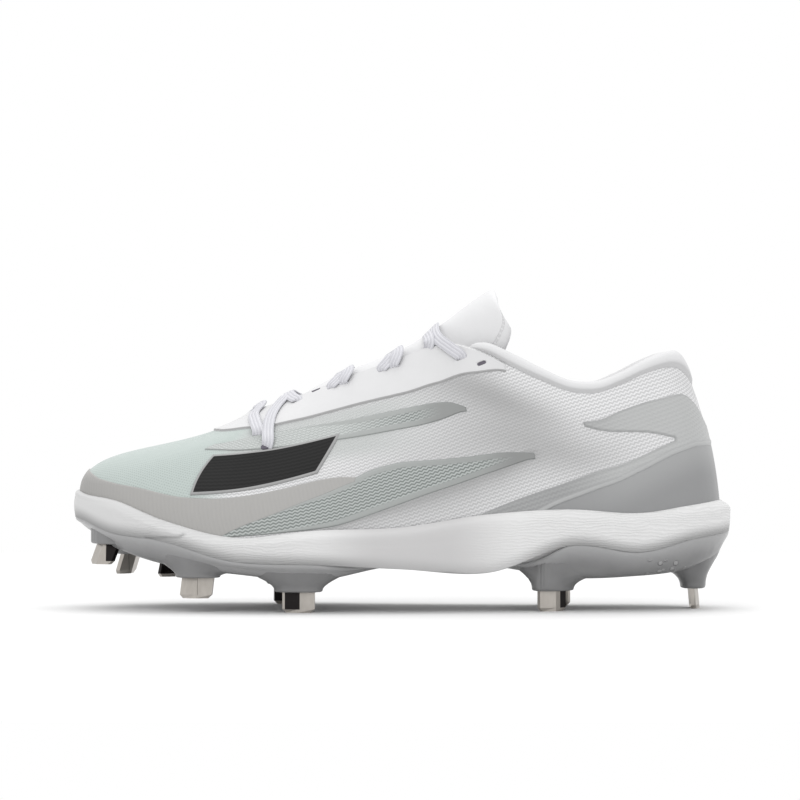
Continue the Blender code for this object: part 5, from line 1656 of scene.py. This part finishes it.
PAD = finish("padded_cloth", paint_pad, fuzz=0.1)
TONGUE_CLOTH = finish("tongue_cloth", paint_tongue)
INSOLE = finish("liner_cloth", paint_lining, fuzz=0.2)

# %% [markdown]
# The collar is a roll along the top edge, thick behind and thin at its front ends. Its section is a
# loop of depths into the shoe and heights over the edge, carried round the heel from one side to
# the other. Outside it tucks in under the knit's edge, so that no gap shows.

# %% The collar
COLLAR_COLUMNS = ("foot_depth", "foot_height", "wall_depth", "wall_height")
COLLAR_ROWS = (
    (-0.16, 0.16, 0.10, -0.060), (-0.20, 0.42, 0.20, -0.060), (-0.06, 0.78, 0.30, -0.060),
    (0.26, 1.00, 0.40, -0.060), (0.72, 0.98, 0.44, -0.080), (1.06, 0.60, 0.44, -0.100),
    (1.27, -0.06, 0.44, -0.160), (1.30, -0.28, 0.44, -0.300), (1.12, -0.54, 0.44, -0.540),
    (0.84, -0.78, 0.44, -0.780), (0.56, -1.00, 0.44, -1.000),
)
COLLAR_START = 0.584
COLLAR_FULL = 0.700
FRONT_FULL = 0.35  # shares of its thickness and of its depth that are left at its front ends
FRONT_DEEP = 0.55
COLLAR_BACK = 0.44
COLLAR_TAPER = 0.030  # w over which its front ends close
COLLAR_STEPS = 340
ROLL_ROWS = 64
WALL_ROWS = 24
MESH_FROM = (0.45, 0.62)  # shares of the way over the roll at which the mesh lining starts
# Share of the way over the roll that its painted seam shadow covers
SEAM_SHADOW_END = 0.07
WALL_LIP = 8.0  # millimetres that a wall_height of 1 stands for


def collar_side(a, depths, heights, unit):
    """Points at depths into the shoe and heights over or under the top edge, a column for each pair."""
    w = side_share(a)
    grown = smooth(COLLAR_START, COLLAR_FULL, w)
    full = FRONT_FULL + (1 - FRONT_FULL) * grown
    deep = FRONT_DEEP + (1 - FRONT_DEEP) * grown
    top = skin(a, 1.0 + 0 * a)
    up = top - skin(a, 0.98 + 0 * a)
    up /= np.linalg.norm(up, axis=-1, keepdims=True)
    run = np.linalg.norm(top - skin(a, 0.99 + 0 * a), axis=-1) * 100
    columns = []
    for depth, height in zip(depths, heights):
        reach = COLLAR_PAD * (max(depth - COLLAR_BACK, 0.0) * full + min(depth, COLLAR_BACK))
        if height >= 0:
            base = top + up * (height * unit)[:, None]
            normal = skin_normal(a, 0.995 + 0 * a)
        else:
            v = 1.0 + height * COLLAR_DEPTH * deep / run
            base = skin(a, v)
            normal = skin_normal(a, np.minimum(v, 0.995))
        columns.append(base - normal * reach[:, None])
    return np.stack(columns, axis=1)


def make_collar():
    """A loop for each a: over the roll to the foot side, down inside and back up along the wall."""
    rows = table(COLLAR_ROWS, COLLAR_COLUMNS)
    knots = np.linspace(0.0, 1.0, len(COLLAR_ROWS))
    a = np.linspace(COLLAR_START, 2.0 - COLLAR_START, COLLAR_STEPS)
    roll = ROLL_HEIGHT * np.maximum(level(UPPER, "roll", a), 0.16)
    fine, plain = np.linspace(0.0, 1.0, ROLL_ROWS), np.linspace(1.0, 0.0, WALL_ROWS)
    foot_depths = through(knots, rows["foot_depth"], fine)
    foot_heights = through(knots, rows["foot_height"], fine)
    foot = collar_side(a, foot_depths, foot_heights, roll)
    wall_depths = through(knots, rows["wall_depth"], plain)
    wall_heights = through(knots, rows["wall_height"], plain)
    wall = collar_side(a, wall_depths, wall_heights, WALL_LIP + 0 * a)
    loop = np.concatenate([foot, wall], axis=1)
    middle = loop.mean(axis=1, keepdims=True)
    t = np.clip((side_share(a) - COLLAR_START) / COLLAR_TAPER, 0.0, 1.0)
    size = np.maximum(np.sqrt(1 - (1 - t) ** 2), 0.12)
    loop = middle + (loop - middle) * size[:, None, None]
    count = loop.shape[1]
    names = np.arange(loop.shape[0] * count).reshape(-1, count)
    faces = [grid_faces(loop.shape[0], count, wrap_columns=True), names[:1, ::-1], names[-1:]]
    inner = np.broadcast_to(np.concatenate([smooth(*MESH_FROM, fine), 1 + 0 * plain]), loop.shape[:2])
    seam_shadow = np.broadcast_to(np.concatenate([1 - smooth(0.0, SEAM_SHADOW_END, fine), 0 * plain]), loop.shape[:2])
    made = piece("padded_collar", loop.reshape(-1, 3), faces, PAD, marks={"inner": inner, "seam_shadow": seam_shadow})
    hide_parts("collar_padding")
    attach(made, "root")


make_collar()

# %% [markdown]
# The tongue is a padded flap that arches over the instep and stands up behind the laces. Its top is
# an arc between two edges at each step along it, and a second face under that gives its thickness.

# %% The tongue
TONGUE_COLUMNS = ("centre_x", "centre_z", "edge_x", "edge_z", "half_width", "middle", "thickness")
TONGUE_ROWS = (
    (-0.248, 0.590, -0.235, 0.525, 0.50, 0.100, 1.00),
    (-0.208, 0.650, -0.195, 0.560, 0.60, 0.095, 1.00),
    (-0.168, 0.735, -0.148, 0.610, 0.66, 0.085, 1.05),
    (-0.121, 0.828, -0.094, 0.670, 0.70, 0.070, 1.10),
    (-0.067, 0.907, -0.027, 0.715, 0.72, 0.050, 1.25),
    (0.000, 0.992, 0.054, 0.760, 0.70, 0.025, 1.50),
    (0.060, 1.112, 0.128, 0.870, 0.64, 0.000, 2.05),
    (0.104, 1.218, 0.162, 1.060, 0.68, 0.000, 2.00),
    (0.138, 1.292, 0.150, 1.190, 0.70, 0.000, 0.95),
)
TONGUE_ARC = math.radians(78)
TONGUE_KNOTS = np.linspace(0, 1, len(TONGUE_ROWS))
TONGUE = table(TONGUE_ROWS, TONGUE_COLUMNS)
TONGUE_STEPS = 200
TONGUE_ACROSS = 120
CORNER_START = 0.86  # u from which the tip's corners round off
TIP_START = 0.93  # u from which it thins towards the tip
TIP_POWER = 4  # how full it stays up to its tip, and up to its sides
SIDE_POWER = 9
EDGE_LEFT = 0.14  # share of its thickness left at the edge
TONGUE_BOW = 1.2  # its length over the arc for each unit straight across
TONGUE_STEP = 0.004  # u and c between the points that give its directions


def tongue_surface(u, c):
    """Top face at u along it, 0 to 1, and c across: an arc over its two edges, about a middle line."""
    base = footbed(np.array([0.45]))[0]
    bow = (1 - np.cos(TONGUE_ARC * c)) / (1 - math.cos(TONGUE_ARC))
    value = {name: through(TONGUE_KNOTS, TONGUE[name], u) for name in TONGUE_COLUMNS}
    x = LENGTH * (value["centre_x"] + (value["edge_x"] - value["centre_x"]) * bow)
    z = base + INSTEP_HEIGHT * (value["centre_z"] + (value["edge_z"] - value["centre_z"]) * bow)
    corner = 1 - 0.22 * np.clip((u - CORNER_START) / (1 - CORNER_START), 0.0, 1.0) ** 2.5
    side = value["half_width"] * np.sin(TONGUE_ARC * c) / math.sin(TONGUE_ARC) * corner
    y = 0.5 * COLLAR_WIDTH * (value["middle"] + side)
    return np.stack([x, y, z], axis=-1)


def make_tongue():
    """The top face and a face under it, as thick as the row says, drawn together at the edges."""
    u, c = np.meshgrid(np.linspace(0, 1, TONGUE_STEPS), np.linspace(-1, 1, TONGUE_ACROSS), indexing="ij")
    near, far = np.maximum(u - TONGUE_STEP, 0.0), np.minimum(u + TONGUE_STEP, 1.0)
    along = tongue_surface(far, c) - tongue_surface(near, c)
    across = tongue_surface(u, c + TONGUE_STEP) - tongue_surface(u, c - TONGUE_STEP)
    normal = np.cross(along, across)
    normal /= np.linalg.norm(normal, axis=-1, keepdims=True)
    full = TONGUE_THICKNESS * np.interp(u, TONGUE_KNOTS, TONGUE["thickness"])
    side = np.sqrt(np.clip(1 - np.abs(c) ** SIDE_POWER, 0.0, 1.0))
    last = np.clip((u - TIP_START) / (1 - TIP_START), 0, 1)
    tip = np.sqrt(np.clip(1 - last**TIP_POWER, 0.0, 1.0))
    round_off = np.clip(side * tip, EDGE_LEFT, 1.0)
    top = tongue_surface(u, c)
    middle = top - normal * (0.5 * full)[..., None]
    outer = middle + normal * (0.5 * full * round_off)[..., None]
    inner = middle - normal * (0.5 * full * round_off)[..., None]
    half_width = 0.5 * COLLAR_WIDTH * np.interp(u, TONGUE_KNOTS, TONGUE["half_width"]) * TONGUE_BOW
    length = np.linalg.norm(np.diff(top[:, TONGUE_ACROSS // 2], axis=0), axis=-1).sum()
    rim = (1 - np.abs(c)) * half_width
    marks = {"rim": np.concatenate([rim, rim]), "along": np.concatenate([u, u]) * length}
    faces = sandwich(grid_faces(TONGUE_STEPS, TONGUE_ACROSS), u.size)
    points = np.concatenate([outer.reshape(-1, 3), inner.reshape(-1, 3)])
    made = piece("padded_tongue", points, faces, TONGUE_CLOTH, marks=marks)
    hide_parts("tongue")
    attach(made, "root")


make_tongue()

# %% [markdown]
# The sock liner lies loose on the foam. It is seen only through the collar, so a shell with a
# rounded edge is enough.

# %% The sock liner
INSOLE_THICKNESS = 4.0
INSOLE_CLEAR = 0.6
# Its rounded edge, from the top down: how far in, and how high over the foam
INSOLE_EDGE = (
    (2.4, INSOLE_THICKNESS),
    (1.0, INSOLE_THICKNESS - 0.2),
    (0.2, INSOLE_THICKNESS - 1.0),
    (0.0, 1.2),
    (0.2, 0.0),
)
INSOLE_ROWS = 16
INSOLE_CAP = 8


def make_insole():
    """A loose liner on the footbed: a rounded edge, and a top that closes towards the middle."""
    a = np.linspace(0.0, 2.0, 300, endpoint=False)
    inset = FEATHER_INSET + UPPER_WALL + INSOLE_CLEAR
    low = footbed(a) + GAP
    edge = [inset_ring(a, inset + inward, low + height) for inward, height in INSOLE_EDGE]
    rings = shut(through_rings(edge, INSOLE_ROWS), INSOLE_CAP)
    made = ring_shell("sock_liner", rings, INSOLE_CAP, INSOLE, {})
    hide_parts("insole")
    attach(made, "root")


make_insole()

# %% [markdown]
# ## Laces
# The laces are flat woven tape. A curve with a bevel could carry them, but it twists where its path
# turns. So each strand is a flattened section set square to the upper at every step: it comes up
# out of its slot, lies on the eyestay, crosses over the tongue and goes down on the other side. The
# ends stay hidden at the top slots, so no free cord shows.

# %% Tape
LACE_WIDTH = 5.4
LACE_THICKNESS = 1.15
LACE_STEPS = 120
LACE_ROUND = 20
TAPE_SQUARE = (0.6, 0.7)  # powers of the cosine and sine: 1 is an ellipse, less is squarer
LACE_PALE = (0.64, 0.64, 0.672, 1.0)
LACE_SHADE = (0.515, 0.515, 0.548, 1.0)


def paint_lace(tree):
    """Lavender grey tape with ribs along it, and a weave across them."""
    spot = Field.node(tree, "ShaderNodeUVMap", {"uv_map": MAP_NAME})
    parts = Field.node(tree, "ShaderNodeSeparateXYZ", inputs={0: spot})
    across = Field(tree, parts.socket.node.outputs[1]) * (1 / MM)
    along = parts * (1 / MM)
    ribs = across.wave(1.45)
    weave = along.wave(0.7) * ribs
    colour = (ribs * 0.6 + weave * 0.4).blend(LACE_SHADE, LACE_PALE)
    return colour, 0.62, ribs * 0.20 + weave * 0.05


LACE = finish("lace_tape", paint_lace, fuzz=0.1)


def tongue_crown(x):
    """Height of the tongue's top over its middle line, at x."""
    u = np.linspace(0, 1, 161)
    line = tongue_surface(u, 0 * u)
    return np.interp(x, line[:, 0], line[:, 2])


def lace_line(lateral, medial, over, forward=0.0):
    """Middle line and normals of a strand, from places (w, v, lift) on each side, outermost first.

    Its middle lies over the tongue by over, and is shifted to the toe by forward.
    """
    sides = []
    for places, turn in ((lateral, 1.0), (medial, -1.0)):
        w, v, lift = (np.array(column) for column in zip(*places))
        sides.append((cloth(turn * w, v, lift), skin_normal(turn * w, np.minimum(v, 0.995))))
    (near, near_up), (far, far_up) = sides
    middle = 0.5 * (near[-1] + far[-1])
    middle[0] -= forward
    middle[2] = max(tongue_crown(middle[0]) + over, middle[2] + 0.3)
    middle_up = near_up[-1] + far_up[-1]
    middle_up /= np.linalg.norm(middle_up)
    stations = np.concatenate([near, [middle], far[::-1]])
    ups = np.concatenate([near_up, [middle_up], far_up[::-1]])
    runs = np.concatenate([[0.0], np.cumsum(np.linalg.norm(np.diff(stations, axis=0), axis=1))])
    spots = np.linspace(0.0, runs[-1], LACE_STEPS)
    return through(runs, stations, spots), through(runs, ups, spots), spots


def tape(strands):
    """Carries a flattened round section along each strand. Returns points, faces and map places."""
    points, faces, caps, maps = [], [], [], []
    turns = np.linspace(0, 2 * math.pi, LACE_ROUND, endpoint=False)
    wide = 0.5 * LACE_WIDTH * np.sign(np.cos(turns)) * np.abs(np.cos(turns)) ** TAPE_SQUARE[0]
    thick = 0.5 * LACE_THICKNESS * np.sign(np.sin(turns)) * np.abs(np.sin(turns)) ** TAPE_SQUARE[1]
    for line, up, spots in strands:
        ahead = np.gradient(line, axis=0)
        ahead /= np.linalg.norm(ahead, axis=1, keepdims=True)
        width = np.cross(ahead, up)
        width /= np.linalg.norm(width, axis=1, keepdims=True)
        normal = np.cross(width, ahead)
        lifted = line + normal * (0.5 * LACE_THICKNESS)
        ring = lifted[:, None] + width[:, None] * wide[:, None] + normal[:, None] * thick[:, None]
        base = sum(len(part) for part in points)
        points.append(ring.reshape(-1, 3))
        faces.append(grid_faces(len(line), LACE_ROUND, wrap_columns=True)[:, ::-1] + base)
        names = np.arange(len(line) * LACE_ROUND).reshape(-1, LACE_ROUND) + base
        caps += [names[0], names[-1, ::-1]]
        places = np.stack(np.broadcast_arrays(spots[:, None], wide[None, :]), axis=-1)
        maps.append(places.reshape(-1, 2) * MM)
    return np.concatenate(points), [np.concatenate(faces), np.array(caps)], np.concatenate(maps)


# %% Strands
REST = STAY_THICKNESS + 0.15  # lift of a strand that lies on the eyestay
UNDER = -1.6  # lift of a strand's end, under the knit
OVER = 0.2  # height of the front strands over the tongue
SECOND_EDGE = 0.285  # w at which the second strand crosses the top edge
CROSS_LIFT = 0.9  # further lift of the upper strand where two cross
FAR_SHIFT = 0.042  # how much nearer the toe, in w, the front strand's far side lies
TOP_SINK = -0.4  # height of the top crossing's lower strand over the tongue
CROSS_SINK = -0.9  # height of a crossing's lower strand over the tongue, which it presses in
# The long strands' way up each side, as (w, v, lift): from under the eyestay to the top edge
LONG_FRONT = (
    (0.284, 0.655, UNDER), (0.280, 0.672, 0.6), (0.236, 0.790, REST), (0.170, 0.935, REST),
    (0.160, 1.000, REST),
)
LONG_SECOND = (
    (0.320, 0.560, -1.2), (0.319, 0.578, 0.9), (0.298, 0.680, REST), (0.269, 0.816, REST),
    (0.257, 0.928, REST), (0.266, 1.000, REST),
)


def short_climb(w, v, w_edge, over=0.0):
    """A strand's way out of a slot in the eyestay and over the top edge."""
    return (
        (w, v - 0.010, UNDER),
        (w, v + 0.008, 0.5 * REST + over),
        (0.6 * w + 0.4 * w_edge, 0.6 * v + 0.4, REST + over),
        (w_edge, 1.0, REST + over),
    )


def tucked(w, w_edge):
    """A strand's way out from under the top edge."""
    return (w, 0.985, -3.6), (w_edge, 1.0, 0.4)


far_front = [(w - FAR_SHIFT, v, lift) for w, v, lift in LONG_FRONT]
front_bar = [lace_line(LONG_FRONT, far_front, OVER, 1.0)]
front_points, front_faces, front_maps = tape(front_bar)
front_lace = piece("front_lace_bar", front_points, front_faces, LACE, front_maps)
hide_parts("lace_bar_front")

strands = [
    lace_line(short_climb(*SECOND_SLOT, SECOND_EDGE), LONG_SECOND, OVER),
    lace_line(LONG_SECOND, short_climb(*SECOND_SLOT, SECOND_EDGE, CROSS_LIFT), OVER + CROSS_LIFT),
]
for front, back in CROSS_SLOTS:
    lean = 0.35 * (back - front)
    strands.append(lace_line(
        short_climb(front, CROSS_V, front + 2.0 * lean),
        short_climb(back, CROSS_V, back + lean),
        CROSS_SINK,
    ))
    strands.append(lace_line(
        short_climb(back, CROSS_V, back + lean, CROSS_LIFT),
        short_climb(front, CROSS_V, front + 2.0 * lean, CROSS_LIFT),
        CROSS_SINK + CROSS_LIFT,
    ))
top_front = tucked(0.530, 0.537)
top_back = short_climb(*TOP_SLOT, 0.556, 0.3)
strands.append(lace_line(top_front, top_back, TOP_SINK, 3.0))
strands.append(lace_line(top_back, top_front, TOP_SINK + CROSS_LIFT))
lace_points, lace_faces, lace_maps = tape(strands)
print("lace strands, mm:", [round(float(spots[-1])) for _, _, spots in front_bar + strands])
laces = piece("woven_laces", lace_points, lace_faces, LACE, lace_maps)
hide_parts("laces")
for made in (front_lace, laces):
    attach(made, "root")


# %% [markdown]
# ## Room, light and camera
# A pale floor, a white surround and three large soft lamps give the even studio light of a product
# picture. The camera looks level from the outer side, from far enough that the shoe isn't spread.

# %% Floor
FLOOR_HALF = 0.6
FLOOR_WHITE = grey(0.78)


def paint_floor(tree):
    """Matt white."""
    return FLOOR_WHITE, 0.9, None


floor_mesh = bpy.data.meshes.new("floor")
floor_corners = FLOOR_HALF * np.array([(-1, -1, 0), (1, -1, 0), (1, 1, 0), (-1, 1, 0)])
floor_mesh.from_pydata(floor_corners.tolist(), [], [(0, 1, 2, 3)])
floor_mesh.materials.append(finish("floor_white", paint_floor))
floor = bpy.data.objects.new("floor", floor_mesh)
bpy.context.scene.collection.objects.link(floor)

# %% Lamps
WORLD_LEVEL = 1.0
# name, place in metres, width in metres, power in watts
LAMPS = (
    ("key", (-0.9, -1.6, 1.7), 1.3, 10.0),
    ("fill", (1.3, -1.2, 0.9), 1.2, 2.0),
    ("top", (0.1, 0.5, 1.9), 1.4, 15.0),
)
TARGET = (0.0, 0.0, 0.06)

world = bpy.data.worlds.new("studio")
world.use_nodes = True
world.node_tree.nodes["Background"].inputs["Color"].default_value = (1.0, 1.0, 1.0, 1.0)
world.node_tree.nodes["Background"].inputs["Strength"].default_value = WORLD_LEVEL
bpy.context.scene.world = world


def aim(thing, place, target):
    """Puts a lamp or camera at a place, facing a target."""
    thing.location = place
    direction = np.array(target) - np.array(place)
    flat = math.hypot(direction[0], direction[1])
    tilt, turn = math.atan2(flat, -direction[2]), math.atan2(-direction[0], direction[1])
    thing.rotation_euler = (tilt, 0.0, turn)


for name, place, width, power in LAMPS:
    lamp = bpy.data.lights.new(name, "AREA")
    lamp.size = width
    lamp.energy = power
    holder = bpy.data.objects.new(name, lamp)
    bpy.context.scene.collection.objects.link(holder)
    aim(holder, place, TARGET)
print("lamps:", len(LAMPS))

# %% Camera
CAMERA_PLACE = (-0.00068, -1.7, 0.09425)
CAMERA_LENS = 168.7
CAMERA_SENSOR = 36.0

camera = bpy.data.cameras.new("camera")
camera.lens = CAMERA_LENS
camera.sensor_width = CAMERA_SENSOR
camera_holder = bpy.data.objects.new("camera", camera)
bpy.context.scene.collection.objects.link(camera_holder)
aim(camera_holder, CAMERA_PLACE, (CAMERA_PLACE[0], 0.0, CAMERA_PLACE[2]))
bpy.context.scene.camera = camera_holder
bpy.context.scene.view_settings.view_transform = "Standard"
